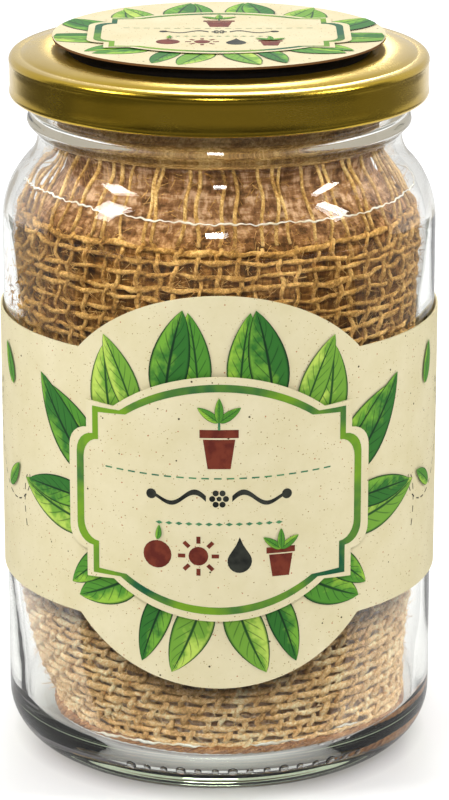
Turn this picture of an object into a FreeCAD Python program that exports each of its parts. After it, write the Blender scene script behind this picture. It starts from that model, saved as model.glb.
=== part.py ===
"""Planting jar: a round twist-off preserving jar lined with a jute sack, with a lug lid, a paper sleeve and a label.

Millimetres. The origin is the centre of the ring that the jar stands on, +Z is up and the label faces -Y.
"""
import FreeCAD
import Part
import math
import os

V = FreeCAD.Vector
UP = V(0, 0, 1)
ORIGIN = V(0, 0, 0)
FULL_TURN = 360.0
HALF_TURN = 180.0
QUARTER_TURN = 90.0
BACK = 90.0               # direction of the seams, measured from +X

# Rounds of a turned profile are drawn as chords, and soft pieces have flats round the axis
heel_chords = 5
shoulder_chords = 4
neck_chords = 2
inner_chords = 2
curl_chords = 3
soft_flats = 24

# Clearances that several pieces share
seat_gap = 0.1            # under a piece that rests on another
paper_gap = 0.05          # between glued sheets
overrun = 2.0             # how far a cutting solid runs past what it cuts

# Glass jar, outside. Drops are measured down from the rim
body_radius = 44.5
jar_height = 146.0
heel_round = 10.5
standing_width = 3.6      # width of the ring that the jar stands on
punt_depth = 1.6
punt_run = 2.4            # how far the punt's sloping edge goes inwards
shoulder_drop = 34.0      # to where the straight wall ends
groove_drop = 15.7        # drawn-in neck
groove_depth = 1.5        # inside the thread wall
bead_drop = 13.1          # transfer bead
bead_proud = 0.6          # outside the thread wall
finish_drop = 10.8        # to where the thread wall starts
finish_inset = 5.9        # from the body's side in to the thread wall
rim_bevel = 0.9
convex_share = 0.68       # of the shoulder, the rest is the hollow of the neck

# Glass jar, inside
side_wall = 2.4
base_wall = 5.2
finish_wall = 2.6
inner_heel_round = 8.0

# Twist-off finish: thread segments on the glass, lugs on the lid
start_count = 6
thread_span = 44.0        # degrees that one segment goes round
thread_drop = 1.2         # how far a segment draws the lid down
thread_depth = 1.8
thread_root_height = 2.2
thread_crest_height = 1.1
thread_sink = 0.4         # the segment's root inside the thread wall
lug_span = 11.5           # degrees
lug_height = 1.3
lug_gap = 0.6             # between a lug and the thread wall
lug_clearance = 0.3       # between a lug's top and a segment's lowest edge
lug_round = 0.4

# Lid: pressed tinplate
lid_sheet = 0.3
skirt_clearance = 2.0     # between the skirt and the segments' crests
gasket_thickness = 1.0
gasket_width = 5.0
gasket_inset = 2.1        # from the skirt's inner face
lid_shoulder_round = 2.3
lid_ring_width = 10.9
lid_step_run = 0.8
lid_recess_depth = 0.9
skirt_height = 9.7
curl_round = 0.9
curl_turn = 235.0         # degrees that the hem is rolled

# Card on the lid
pad_clearance = 0.2       # between the pad and the foot of the lid's step
pad_thickness = 2.7
card_overhang = 3.0
card_thickness = 0.45

# Paper sleeve
sleeve_fit = 0.3          # between glass and paper
sleeve_paper = 0.4
band_height = 55.7
sleeve_rise = 5.1          # of the band's middle above the middle of the straight wall
panel_radius = 40.8
panel_points = 24         # points of the panel's wrapped edge
lap_width = 14.0
lap_step_width = 2.4
glue_width = 10.0
glue_margin = 3.0         # bare paper above and below the glue line
glue_thickness = 0.2

# Plaque label, laid flat: half widths from its middle, heights from its centre
label_paper = 0.4
label_drop = 0.65         # of the label's middle below the band's
label_half_height = 25.4
label_half_width = 32.1
label_tab_half_width = 27.8
label_tab_height = 18.5   # height of the tabs' outer edges above the centre
label_arch_half_width = 21.6
label_notch_depth = 0.5   # how far the arch's foot dips below the tab
label_side_half_height = 8.4
label_pad_size = 12.0
label_pad_thickness = 0.7
label_pad_across = 17.0
label_pad_up = 9.5

# Jute sack
cloth = 1.2
sack_room = 2.2            # between the sack's belly and the glass
sack_heel_round = 3.0
sack_foot_inset = 3.4      # from the belly's radius in to the foot's
sack_belly_height = 50.0
sack_shoulder_inset = 1.7
sack_neck_room = 1.4       # between the sack's neck and the glass
sack_bulge_share = 0.62    # 1 is a straight cone, and less bulges more
drawn_length = 13.0        # of the threads left between the woven cloth and the hem
drawn_thread_count = 60
drawn_thread_width = 0.9
hem_height = 3.0
hem_rise = 2.7             # of the hem's top above the middle of the neck's groove
hem_thickness = 1.6
seam_lift = 2.4            # from the sack's bottom to the seam
seam_height = 2.8
seam_thickness = 1.6
side_seam_width = 6.0
side_seam_thickness = 0.9
side_seam_foot_height = 12.0

# What is in the sack
disc_count = 3
disc_room = 6.5            # between the discs and the foot of the sack
disc_thickness = 12.0
disc_edge = 1.0
sachet_length = 42.0
sachet_width = 32.0
sachet_seal = 4.0
sachet_paper = 0.3
sachet_fullness = 2.8
sachet_corner = 1.1
seed_length = 2.2
seed_radius = 0.6
seed_columns = 6
seed_rows = 3
seed_sides = 6
seed_pitch = 4.2
seed_turn = 37.0           # degrees between one seed and the next

# Places that follow from the sizes above
shoulder_height = jar_height - shoulder_drop
groove_height = jar_height - groove_drop
bead_height = jar_height - bead_drop
finish_height = jar_height - finish_drop
finish_radius = body_radius - finish_inset
groove_radius = finish_radius - groove_depth
bead_radius = finish_radius + bead_proud
mouth_radius = finish_radius - finish_wall
thread_radius = finish_radius + thread_depth
lug_inner_radius = finish_radius + lug_gap
lid_radius = thread_radius + skirt_clearance + lid_sheet
lid_ring_inner_radius = lid_radius - lid_ring_width
panel_top = jar_height + seat_gap + gasket_thickness + seat_gap + lid_sheet
skirt_bottom = panel_top - skirt_height
recess_top = panel_top - lid_recess_depth
lug_bottom = skirt_bottom + lug_round
thread_low = lug_bottom + lug_height + lug_clearance
pad_radius = lid_ring_inner_radius - lid_step_run - pad_clearance
card_radius = pad_radius + card_overhang
sleeve_radius = body_radius + sleeve_fit
sleeve_centre_height = (heel_round + shoulder_height) / 2 + sleeve_rise
label_centre_height = sleeve_centre_height - label_drop
label_radius = sleeve_radius + sleeve_paper + label_pad_thickness + paper_gap + paper_gap
sack_bottom_height = base_wall + seat_gap
sack_foot_height = sack_bottom_height + sack_heel_round
sack_bend_height = (sack_foot_height + sack_belly_height) / 2
sack_shoulder_height = shoulder_height
sack_neck_height = groove_height + hem_rise - hem_height
sack_woven_height = sack_neck_height - drawn_length
sack_belly_radius = body_radius - side_wall - sack_room
sack_foot_radius = sack_belly_radius - sack_foot_inset
sack_shoulder_radius = sack_belly_radius - sack_shoulder_inset
sack_neck_radius = groove_radius - side_wall - sack_neck_room
disc_radius = sack_foot_radius - disc_room


def line(a, b):
    return Part.makeLine(a, b)


def arc(a, middle, b):
    return Part.Arc(a, middle, b).toShape()


def flat(r, z):
    """A point of a turned profile: r from the axis, z up."""
    return V(r, 0, z)


def open_run(points):
    """Straight edges from the first point to the last."""
    return [line(p, q) for p, q in zip(points, points[1:])]


def polygon(points):
    """Straight edges through the points and back to the first."""
    return open_run(points + points[:1])


def rounded(centre, radius, start, turn, chords):
    """Points of a round of a turned profile, from the angle start, in degrees from +r towards +z."""
    points = []
    for index in range(chords + 1):
        angle = math.radians(start + turn * index / chords)
        points.append(centre + flat(radius * math.cos(angle), radius * math.sin(angle)))
    return points


def ogee(foot, head, first_share, first_chords, last_chords):
    """Points of two rounds that leave foot upright, turn inwards and reach head upright.

    The first round takes first_share of the height and of the way in.
    """
    turn = 2 * math.degrees(math.atan2(foot.x - head.x, head.z - foot.z))
    radii = (head.z - foot.z) / math.sin(math.radians(turn))
    first = radii * first_share
    last = radii - first
    points = rounded(foot - flat(first, 0), first, 0, turn, first_chords)
    return points + rounded(head + flat(last, 0), last, HALF_TURN + turn, -turn, last_chords)[1:]


def turned(points, angle=FULL_TURN):
    """Turn a closed profile round the Z axis."""
    return Part.Face(Part.Wire(polygon(points))).revolve(ORIGIN, UP, angle)


def stacked(points):
    """A solid of soft_flats flats round the Z axis, through the profile points from its foot to its head."""
    rings = []
    for point in points:
        corners = []
        for index in range(soft_flats):
            angle = math.tau * index / soft_flats
            corners.append(V(point.x * math.cos(angle), point.x * math.sin(angle), point.z))
        rings.append(Part.Wire(polygon(corners)))
    return Part.makeLoft(rings, True, True)


def soft_ring(r_inner, thickness, z_low, height):
    """A ring of soft_flats flats round the Z axis."""
    outer = stacked([flat(r_inner + thickness, z_low), flat(r_inner + thickness, z_low + height)])
    return outer.cut(stacked([flat(r_inner, z_low - overrun), flat(r_inner, z_low + height + overrun)]))


def rectangle(r_inner, r_outer, z_low, z_high):
    return [flat(r_inner, z_low), flat(r_outer, z_low), flat(r_outer, z_high), flat(r_inner, z_high)]


def tube(r_inner, wall, z_low, height):
    outer = Part.makeCylinder(r_inner + wall, height, flat(0, z_low))
    return outer.cut(Part.makeCylinder(r_inner, height + overrun * 2, flat(0, z_low - overrun)))


def around(shape, count, first=0.0):
    """Copies of shape, evenly spaced round the Z axis."""
    copies = []
    for index in range(count):
        copy = shape.copy()
        copy.rotate(ORIGIN, UP, first + FULL_TURN / count * index)
        copies.append(copy)
    return copies


def wrapped(across, height, radius):
    """A point of a flat sheet, bent round a cylinder of this radius and seen square from the front."""
    return V(radius * math.sin(across / radius), 0, height)


def die_cut(outline, radius, thickness):
    """Cut a wrapped outline out of the front of a tube of sheet."""
    depth = radius + thickness + overrun
    cutter = Part.Face(outline).extrude(V(0, -depth, 0))
    box = outline.BoundBox
    sheet = tube(radius, thickness, box.ZMin - overrun, box.ZLength + overrun * 2)
    return sheet.common(cutter)


def jar_outside():
    """Points from the punt's middle, round the heel and up to the rim."""
    heel_centre = flat(body_radius - heel_round, heel_round)
    standing_inner = heel_centre.x - standing_width
    groove = flat(groove_radius, groove_height)
    points = [flat(0, punt_depth), flat(standing_inner - punt_run, punt_depth), flat(standing_inner, 0)]
    points += rounded(heel_centre, heel_round, -QUARTER_TURN, QUARTER_TURN, heel_chords)
    points += ogee(flat(body_radius, shoulder_height), groove, convex_share, shoulder_chords, neck_chords)
    points += [flat(bead_radius, bead_height), flat(finish_radius, finish_height)]
    return points + [flat(finish_radius, jar_height - rim_bevel), flat(finish_radius - rim_bevel, jar_height)]


def jar_inside():
    """Points from the rim, down the wall and in to the middle of the floor."""
    bore = body_radius - side_wall
    rise = groove_height - shoulder_height
    turn = 2 * math.atan2(body_radius - groove_radius, rise)
    inner_share = convex_share - side_wall * math.sin(turn) / rise
    neck = flat(groove_radius - side_wall, groove_height)
    heel_centre = flat(bore - inner_heel_round, base_wall + inner_heel_round)
    points = [flat(mouth_radius, jar_height), flat(mouth_radius, finish_height)]
    points += reversed(ogee(flat(bore, shoulder_height), neck, inner_share, 1, 1))
    points += rounded(heel_centre, inner_heel_round, 0, -QUARTER_TURN, inner_chords)
    return points + [flat(0, base_wall)]


def thread_segment():
    """One raised segment of the finish. It falls as it goes clockwise, so that closing the lid draws it down."""
    root = finish_radius - thread_sink
    rise_per_turn = thread_drop * FULL_TURN / thread_span
    path = Part.makeHelix(rise_per_turn, thread_drop, finish_radius)
    low = flat(root, -thread_root_height / 2)
    crest_low = flat(thread_radius, -thread_crest_height / 2)
    crest_high = flat(thread_radius, thread_crest_height / 2)
    high = flat(root, thread_root_height / 2)
    section = Part.Wire(polygon([low, crest_low, crest_high, high]))
    segment = Part.Wire(path.Edges).makePipeShell([section], True, True)
    segment.translate(V(0, 0, thread_low + thread_root_height / 2))
    segment.rotate(ORIGIN, UP, -thread_span / 2)
    return segment


def glass_jar():
    jar = turned(jar_outside() + jar_inside())
    gap_to_segment = FULL_TURN / start_count / 2
    return jar.fuse(around(thread_segment(), start_count, gap_to_segment))


def lid_face():
    """Points of the lid's outer face from its middle to the end of the rolled hem."""
    step_foot = flat(lid_ring_inner_radius - lid_step_run, recess_top)
    shoulder_centre = flat(lid_radius - lid_shoulder_round, panel_top - lid_shoulder_round)
    curl_centre = flat(lid_radius - curl_round, skirt_bottom + curl_round)
    points = [flat(0, recess_top), step_foot, flat(lid_ring_inner_radius, panel_top)]
    points += rounded(shoulder_centre, lid_shoulder_round, QUARTER_TURN, -QUARTER_TURN, inner_chords)
    return points + rounded(curl_centre, curl_round, 0, -curl_turn, curl_chords)


def lid_shell():
    """Sheet metal: the outer face's profile thickened inwards and turned, with the lugs folded out of the hem."""
    profile = Part.Wire(open_run(lid_face())).makeOffset2D(-lid_sheet, 2, True, True, False)
    shell = profile.revolve(ORIGIN, UP, FULL_TURN)
    top = lug_bottom + lug_height
    hem = lid_radius - curl_round * 2 + lid_sheet
    corners = [
        flat(hem, lug_bottom),
        flat(lug_inner_radius + lug_round, lug_bottom),
        flat(lug_inner_radius, lug_bottom + lug_round),
        flat(lug_inner_radius, top),
        flat(hem, top),
    ]
    lug = turned(corners, lug_span)
    lug.rotate(ORIGIN, UP, -lug_span / 2)
    return shell.fuse(around(lug, start_count))


def lid_gasket():
    outer = lid_radius - lid_sheet - gasket_inset
    return soft_ring(outer - gasket_width, gasket_width, jar_height + seat_gap, gasket_thickness)


def lid_card_pad():
    low = recess_top + seat_gap
    return stacked([flat(pad_radius, low), flat(pad_radius, low + pad_thickness)])


def lid_card():
    low = recess_top + seat_gap + pad_thickness + paper_gap
    return Part.makeCylinder(card_radius, card_thickness, flat(0, low))


def sleeve_strip():
    """The band seen from above: one strip of paper once round the jar, whose end steps up and laps its start."""
    lap_radius = sleeve_radius + sleeve_paper + glue_thickness + paper_gap * 2
    lap = math.radians(FULL_TURN) * (lap_width / (math.tau * sleeve_radius))
    start = math.radians(BACK) - lap / 2
    step = start + math.tau - lap_step_width / sleeve_radius
    finish = start + math.tau

    def at(radius, angle):
        return V(radius * math.cos(angle), radius * math.sin(angle), 0)

    def bend(radius, first, last):
        return arc(at(radius, first), at(radius, (first + last) / 2), at(radius, last))
    outer = sleeve_radius + sleeve_paper
    lap_outer = lap_radius + sleeve_paper
    return [
        bend(sleeve_radius, start, step),
        line(at(sleeve_radius, step), at(lap_radius, finish)),
        bend(lap_radius, finish, finish + lap),
        line(at(lap_radius, finish + lap), at(lap_outer, finish + lap)),
        bend(lap_outer, finish + lap, finish),
        line(at(lap_outer, finish), at(outer, step)),
        bend(outer, step, start),
        line(at(outer, start), at(sleeve_radius, start)),
    ]


def panel_outline():
    """The sleeve's round front panel, wrapped: a circle when the paper lies flat."""
    points = []
    for index in range(panel_points):
        angle = math.tau * index / panel_points
        across = panel_radius * math.cos(angle)
        points.append(wrapped(across, sleeve_centre_height + panel_radius * math.sin(angle), sleeve_radius))
    curve = Part.BSplineCurve()
    curve.interpolate(points, PeriodicFlag=True)
    return Part.Wire([curve.toShape()])


def sleeve_band():
    band = Part.Face(Part.Wire(sleeve_strip())).extrude(V(0, 0, band_height))
    band.translate(V(0, 0, sleeve_centre_height - band_height / 2))
    return band.fuse(die_cut(panel_outline(), sleeve_radius, sleeve_paper)).removeSplitter()


def sector(r_inner, r_outer, z_low, z_high, across, middle):
    """A piece of tube that is across wide along its inner face, about the direction middle."""
    angle = math.degrees(across / r_inner)
    piece = turned(rectangle(r_inner, r_outer, z_low, z_high), angle)
    piece.rotate(ORIGIN, UP, middle - angle / 2)
    return piece


def sleeve_seam_glue():
    inner = sleeve_radius + sleeve_paper + paper_gap
    low = sleeve_centre_height - band_height / 2 + glue_margin
    high = sleeve_centre_height + band_height / 2 - glue_margin
    return sector(inner, inner + glue_thickness, low, high, glue_width, BACK)


def label_outline():
    """The plaque: an arch above and below, square tabs at the shoulders and a quarter round from each to the side."""
    def at(across, up):
        return wrapped(across, label_centre_height + up, label_radius)

    def quarter(side, end):
        """From an arch's foot, over the tab and round the corner, to the side's end."""
        tab_in = at(side * label_arch_half_width, end * (label_tab_height - label_notch_depth))
        tab_out = at(side * label_tab_half_width, end * label_tab_height)
        tab_foot_up = label_side_half_height + label_half_width - label_tab_half_width
        tab_foot = at(side * label_tab_half_width, end * tab_foot_up)
        bend = (label_half_width - label_tab_half_width) * math.sin(math.pi / 4)
        middle = at(side * (label_tab_half_width + bend), end * (label_side_half_height + bend))
        side_end = at(side * label_half_width, end * label_side_half_height)
        return [line(tab_in, tab_out), line(tab_out, tab_foot), arc(tab_foot, middle, side_end)]

    def arch(end):
        foot = end * (label_tab_height - label_notch_depth)
        return arc(at(-label_arch_half_width, foot), at(0, end * label_half_height), at(label_arch_half_width, foot))
    edges = [arch(1), arch(-1)]
    for side in (-1, 1):
        edges += quarter(side, 1) + quarter(side, -1)
        edges.append(line(at(side * label_half_width, label_side_half_height),
                          at(side * label_half_width, -label_side_half_height)))
    return Part.Wire(Part.__sortEdges__(edges))


def front_label():
    return die_cut(label_outline(), label_radius, label_paper)


def front_label_pads():
    inner = sleeve_radius + sleeve_paper + paper_gap
    pads = []
    for side in (-1, 1):
        for end in (-1, 1):
            z_middle = label_centre_height + end * label_pad_up
            direction = -BACK + side * math.degrees(label_pad_across / inner)
            pads.append(sector(inner, inner + label_pad_thickness, z_middle - label_pad_size / 2,
                               z_middle + label_pad_size / 2, label_pad_size, direction))
    return Part.makeCompound(pads)


def sack_point(height, inset):
    """A point of the sack's side at this height, moved inwards by inset."""
    if height > sack_shoulder_height:
        along = (height - sack_shoulder_height) / (sack_neck_height - sack_shoulder_height)
        drawn_in = (sack_shoulder_radius - sack_neck_radius) * along ** (1 / sack_bulge_share)
        return flat(sack_shoulder_radius - drawn_in - inset, height)
    end_radius, end_height = sack_shoulder_radius, sack_shoulder_height
    if height < sack_belly_height:
        end_radius, end_height = sack_foot_radius, sack_foot_height
    along = (height - sack_belly_height) / (end_height - sack_belly_height)
    return flat(sack_belly_radius - (sack_belly_radius - end_radius) * along ** 2 - inset, height)


def sack_side(low, inset):
    """Points of the sack's side from low up to where the weave ends."""
    bends = [sack_bend_height, sack_belly_height, sack_shoulder_height, sack_woven_height]
    return [sack_point(height, inset) for height in [low] + bends]


def sack_cloth():
    """A bag of one thickness of cloth, open at the top."""
    floor_radius = sack_foot_radius - sack_heel_round
    outside = [flat(floor_radius, sack_bottom_height)] + sack_side(sack_foot_height, 0)
    inside = [flat(floor_radius, sack_bottom_height + cloth)] + sack_side(sack_foot_height, cloth)
    return stacked(outside).cut(stacked(inside + [inside[-1] + flat(0, overrun)]))


def sack_drawn_threads():
    """The upright yarns between the woven cloth and the hem, evenly spaced."""
    low = sack_woven_height + paper_gap
    high = sack_neck_height - paper_gap
    inset = (cloth - drawn_thread_width) / 2
    corners = [
        sack_point(low, inset),
        sack_point(high, inset),
        sack_point(high, inset + drawn_thread_width),
        sack_point(low, inset + drawn_thread_width),
    ]
    thread = Part.Face(Part.Wire(polygon(corners))).extrude(V(0, drawn_thread_width, 0))
    thread.translate(V(0, -drawn_thread_width / 2, 0))
    return Part.makeCompound(around(thread, drawn_thread_count))


def sack_top_hem():
    inner = sack_neck_radius - (cloth + hem_thickness) / 2
    return soft_ring(inner, hem_thickness, sack_neck_height, hem_height)


def sack_bottom_seam():
    """The overlocked edge: a cord of stitches that runs round the foot of the sack's side."""
    low = sack_bottom_height + seam_lift
    return soft_ring(sack_point(low + seam_height, 0).x + seat_gap, seam_thickness, low, seam_height)


def sack_side_seam():
    """The upright seam at the back, on the outside of the cloth."""
    inner = sack_side(side_seam_foot_height, -paper_gap)
    outer = sack_side(side_seam_foot_height, -paper_gap - side_seam_thickness)
    seam = Part.Face(Part.Wire(polygon(inner + outer[::-1]))).extrude(V(0, side_seam_width, 0))
    seam.translate(V(0, -side_seam_width / 2, 0))
    seam.rotate(ORIGIN, UP, BACK)
    return seam


def disc_low(index):
    """Height of a disc's underside, counted from the sack's bottom."""
    return sack_bottom_height + cloth + seat_gap + index * (disc_thickness + seat_gap)


def coir_disc(index):
    """A pressed growing disc with broken edges."""
    low = disc_low(index)
    top = low + disc_thickness
    rim = disc_radius - disc_edge
    side = [flat(disc_radius, low + disc_edge), flat(disc_radius, top - disc_edge)]
    return stacked([flat(rim, low)] + side + [flat(rim, top)])


def sachet_low():
    return disc_low(disc_count)


def pillow(length, width, z_low, height, corner):
    """A block whose upper edges are broken, as a filled paper pocket is."""
    block = Part.makeBox(length, width, height, V(-length / 2, -width / 2, z_low))
    edges = [edge for edge in block.Edges if edge.BoundBox.ZMin > z_low + height / 2]
    return block.makeChamfer(corner, edges)


def seed_sachet():
    """Two papers sealed round their edge, the upper one swollen over the seeds."""
    low = sachet_low()
    rim = Part.makeBox(sachet_length + sachet_seal * 2, sachet_width + sachet_seal * 2, sachet_paper * 2,
                       V(-sachet_length / 2 - sachet_seal, -sachet_width / 2 - sachet_seal, low))
    swell = pillow(sachet_length, sachet_width, low, sachet_fullness, sachet_corner)
    inside = pillow(sachet_length - sachet_paper * 2, sachet_width - sachet_paper * 2, low + sachet_paper,
                    sachet_fullness - sachet_paper * 2, sachet_corner - sachet_paper)
    return rim.fuse(swell).cut(inside).removeSplitter()


def seeds():
    """Small pointed seeds, each turned a little more than the last, on the sachet's lower paper."""
    low = sachet_low() + sachet_paper + seat_gap
    ring = []
    for index in range(seed_sides):
        angle = math.tau * index / seed_sides
        ring.append(V(0, seed_radius * math.cos(angle), seed_radius * math.sin(angle)))
    middle = Part.Wire(polygon(ring))
    tips = [Part.Vertex(V(side * seed_length / 2, 0, 0)) for side in (-1, 1)]
    seed = Part.makeLoft([tips[0], middle, tips[1]], True, True)
    group = []
    for row in range(seed_rows):
        for column in range(seed_columns):
            copy = seed.copy()
            copy.rotate(ORIGIN, UP, seed_turn * len(group))
            across = (column - (seed_columns - 1) / 2) * seed_pitch
            along = (row - (seed_rows - 1) / 2) * seed_pitch
            copy.translate(V(across, along, low + seed_radius))
            group.append(copy)
    return Part.makeCompound(group)


def pieces():
    """Every node's name and solid."""
    made = {
        "glass_jar": glass_jar(),
        "lid_shell": lid_shell(),
        "lid_gasket": lid_gasket(),
        "lid_card_pad": lid_card_pad(),
        "lid_card": lid_card(),
        "sleeve_band": sleeve_band(),
        "sleeve_seam_glue": sleeve_seam_glue(),
        "front_label": front_label(),
        "front_label_pads": front_label_pads(),
        "sack_cloth": sack_cloth(),
        "sack_drawn_threads": sack_drawn_threads(),
        "sack_top_hem": sack_top_hem(),
        "sack_bottom_seam": sack_bottom_seam(),
        "sack_side_seam": sack_side_seam(),
        "seed_sachet": seed_sachet(),
        "seeds": seeds(),
    }
    for index in range(disc_count):
        made["coir_disc_" + str(index + 1)] = coir_disc(index)
    return made


def main():
    os.makedirs("parts", exist_ok=True)
    for name, shape in pieces().items():
        shape.exportStep(os.path.join("parts", name + ".step"))
        print(name, "solids", len(shape.Solids), "valid", shape.isValid(), "volume", round(shape.Volume))


if __name__ == "__main__":
    main()
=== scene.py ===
import math
import random

import bpy
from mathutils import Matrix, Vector

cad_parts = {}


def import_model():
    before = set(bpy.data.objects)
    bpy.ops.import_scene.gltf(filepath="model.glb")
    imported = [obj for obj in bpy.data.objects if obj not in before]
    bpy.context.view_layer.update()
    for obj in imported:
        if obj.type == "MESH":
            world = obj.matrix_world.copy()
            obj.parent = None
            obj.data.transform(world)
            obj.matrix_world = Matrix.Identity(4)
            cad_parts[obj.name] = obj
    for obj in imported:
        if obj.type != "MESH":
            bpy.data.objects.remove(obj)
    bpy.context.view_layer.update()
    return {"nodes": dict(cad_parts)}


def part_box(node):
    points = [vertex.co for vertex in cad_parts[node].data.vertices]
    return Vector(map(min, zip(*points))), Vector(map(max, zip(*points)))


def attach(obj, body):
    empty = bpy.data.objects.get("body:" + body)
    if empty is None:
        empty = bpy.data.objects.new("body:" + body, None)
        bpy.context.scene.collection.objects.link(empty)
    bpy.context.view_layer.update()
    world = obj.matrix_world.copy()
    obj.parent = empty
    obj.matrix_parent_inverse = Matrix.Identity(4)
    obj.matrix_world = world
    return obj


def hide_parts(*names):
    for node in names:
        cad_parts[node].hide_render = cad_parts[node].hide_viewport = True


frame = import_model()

# Planting jar with a jute sack, dressed for the photograph.
# Metres, +Z up, the label faces -Y. The jar's sizes are written in millimetres and multiplied by MM,
# those of the stage, the lamps and the camera in metres.

MM = 0.001
FULL = math.tau
dice = random.Random(7)


def box_mm(node):
    """Lowest and highest corner of a node, in millimetres."""
    low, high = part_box(node)
    return low / MM, high / MM


# Sizes read from the frame
jar_top = box_mm("glass_jar")[1]
lid_low, lid_top = box_mm("lid_shell")
gasket_low = box_mm("lid_gasket")[0]
pad_low, pad_top = box_mm("lid_card_pad")
card_top = box_mm("lid_card")[1]
band_low, band_top = box_mm("sleeve_band")
label_low, label_top = box_mm("front_label")
sack_low, sack_top = box_mm("sack_cloth")
threads_top = box_mm("sack_drawn_threads")[1]
hem_low = box_mm("sack_top_hem")[0]
seam_low, seam_top = box_mm("sack_bottom_seam")
side_seam_low, side_seam_top = box_mm("sack_side_seam")
sachet_low, sachet_top = box_mm("seed_sachet")
seeds_low = box_mm("seeds")[0]

# Glass
body_radius = jar_top.x
jar_height = jar_top.z
heel_round = 10.5
standing_width = 3.6
punt_height = 1.6
punt_run = 2.4
shoulder_height = jar_height - 34.0
groove_height = jar_height - 15.7
bead_height = jar_height - 13.1
finish_height = jar_height - 10.8
finish_radius = body_radius - 5.9
groove_radius = finish_radius - 1.5
bead_radius = finish_radius + 0.6
rim_round = 1.2
convex_share = 0.68
side_wall = 2.4
base_wall = 5.2
mouth_radius = finish_radius - 2.6
inner_heel_round = 8.0
inner_share = 0.591        # the shoulder's convex share on the inner wall
glass_sides = 180
wall_ripple = 0.07         # how far the inner wall wanders
start_count = 6
thread_span = math.radians(44.0)
thread_rise = 1.2
thread_depth = 1.8
thread_half_height = 1.3
thread_middle = lid_low.z + 3.1
dot_count = 15
dot_start = math.radians(-24.0)
dot_step = math.radians(4.6)
dot_slope = math.radians(-20.0)    # below the heel's widest line
dot_stand = 0.02
bore = body_radius - side_wall
neck_bore = groove_radius - side_wall
heel = (body_radius - heel_round, heel_round)    # middle of the round between wall and base

# Lid
lid_radius = lid_top.x
lid_height = lid_top.z
lid_sheet = 0.3
ring_inner = lid_radius - 10.9
recess_height = lid_height - 0.9
curl_round = 0.9
lid_sides = 160
lug_span = math.radians(11.5)
lug_height = 1.3
lug_reach = finish_radius + 0.6
lug_lift = 0.4             # from the hem's lowest line to the lug

# Paper
paper = 0.4
print_lift = 0.03
card_ground_lift = 0.32    # the plaque on the card lies above all of its leaves
leaf_lift = 0.01           # the step between leaves, so that no two lie in one plane
leaf_ink_count = 3
sprig_order = 6            # the seedlings' leaves start this many steps above their ground
strip_width = 2.0          # upright strips that let flat paper bend
panel_radius = 40.8
print_edge = panel_radius - 0.3
wreath_half_width = 27.0
wreath_half_height = 20.5
leaf_reach = 39.2          # how far the upper and lower leaves may reach from the panel's middle
band_middle = (band_low.z + band_top.z) / 2
band_half_height = 27.85
sleeve_radius = body_radius + 0.3
band_outer = sleeve_radius + paper
label_radius = -label_low.y - paper
label_middle = (label_low.z + label_top.z) / 2
lap_width = 14.0
lap_step = 2.4
lap_lift = paper + 0.3
tape_across = 17.0
tape_up = 9.5
tape_size = 12.0
tape_thickness = 0.7

# Jute
warp_count = 64
fibre_count = 13000
rope_twists = 34
weft_pitch_low = 2.2
weft_pitch_high = 2.5
cloth_inset = 0.6          # from the bag's outer line to the middle of the cloth
hem_rise = 7.4             # the frayed edge stands up in the neck
foot_tone_top = 35.0       # the jute is paler below this height
body_tone_low = 98.0       # and at its full tone from here up
bare_tone_low = 112.0      # the cloth behind the drawn threads turns paler from here
bare_tone_top = 120.0
# Height and gap to the glass of the bag's outer line, which fills out in the jar
bag_line = [
    (sack_low.z, 7.4), (sack_low.z + 3.0, 5.7), (sack_low.z + 8.0, 4.7), (sack_low.z + 15.0, 3.2),
    (sack_low.z + 27.0, 1.7), (sack_low.z + 45.0, 1.0), (shoulder_height - 30.0, 0.8),
    (shoulder_height - 7.0, 0.9), (shoulder_height, 1.3), (shoulder_height + 5.0, 2.4),
    (shoulder_height + 9.0, 4.3), (shoulder_height + 12.0, 6.1), (shoulder_height + 15.0, 7.9),
    (threads_top.z, 8.8), (threads_top.z + hem_rise, 8.3)]
# Height and sideways lean of the bag, which slumps to one side at its foot
bag_lean = [
    (sack_low.z, 2.3), (sack_low.z + 5.0, 2.0), (sack_low.z + 12.0, 0.4), (sack_low.z + 27.0, -0.8),
    (60.0, -0.6), (shoulder_height, -0.3), (threads_top.z, 0.0)]


def linear(code):
    """A hex colour as the linear values that shaders take."""
    values = [int(code[index:index + 2], 16) / 255 for index in (1, 3, 5)]
    return [v / 12.92 if v < 0.04045 else ((v + 0.055) / 1.055) ** 2.4 for v in values] + [1.0]


def per(size):
    """The texture scale that repeats every so many millimetres on coordinates in metres."""
    return 1 / (size * MM)


def smooth(value):
    """0 to 1 with a soft start and end."""
    value = min(max(value, 0.0), 1.0)
    return value * value * (3 - 2 * value)


def along_line(line, height):
    """The value at this height on a line of (height, value) points, bent smoothly through them."""
    if height <= line[0][0]:
        return line[0][1]
    if height >= line[-1][0]:
        return line[-1][1]
    index = max(i for i in range(len(line) - 1) if line[i][0] <= height)
    slopes = []
    for place in (index, index + 1):
        before, after = line[max(place - 1, 0)], line[min(place + 1, len(line) - 1)]
        slopes.append((after[1] - before[1]) / (after[0] - before[0]))
    (h0, v0), (h1, v1) = line[index], line[index + 1]
    run = h1 - h0
    t = (height - h0) / run
    s0, s1 = slopes[0] * run, slopes[1] * run
    return ((2 * t ** 3 - 3 * t * t + 1) * v0 + (t ** 3 - 2 * t * t + t) * s0
            + (3 * t * t - 2 * t ** 3) * v1 + (t ** 3 - t * t) * s1)


# Points of outlines

def rounded(centre, radius, start, turn, count):
    """Points of a round, angles in degrees from the first axis towards the second."""
    points = []
    for index in range(count + 1):
        angle = math.radians(start + turn * index / count)
        points.append((centre[0] + radius * math.cos(angle), centre[1] + radius * math.sin(angle)))
    return points


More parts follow.
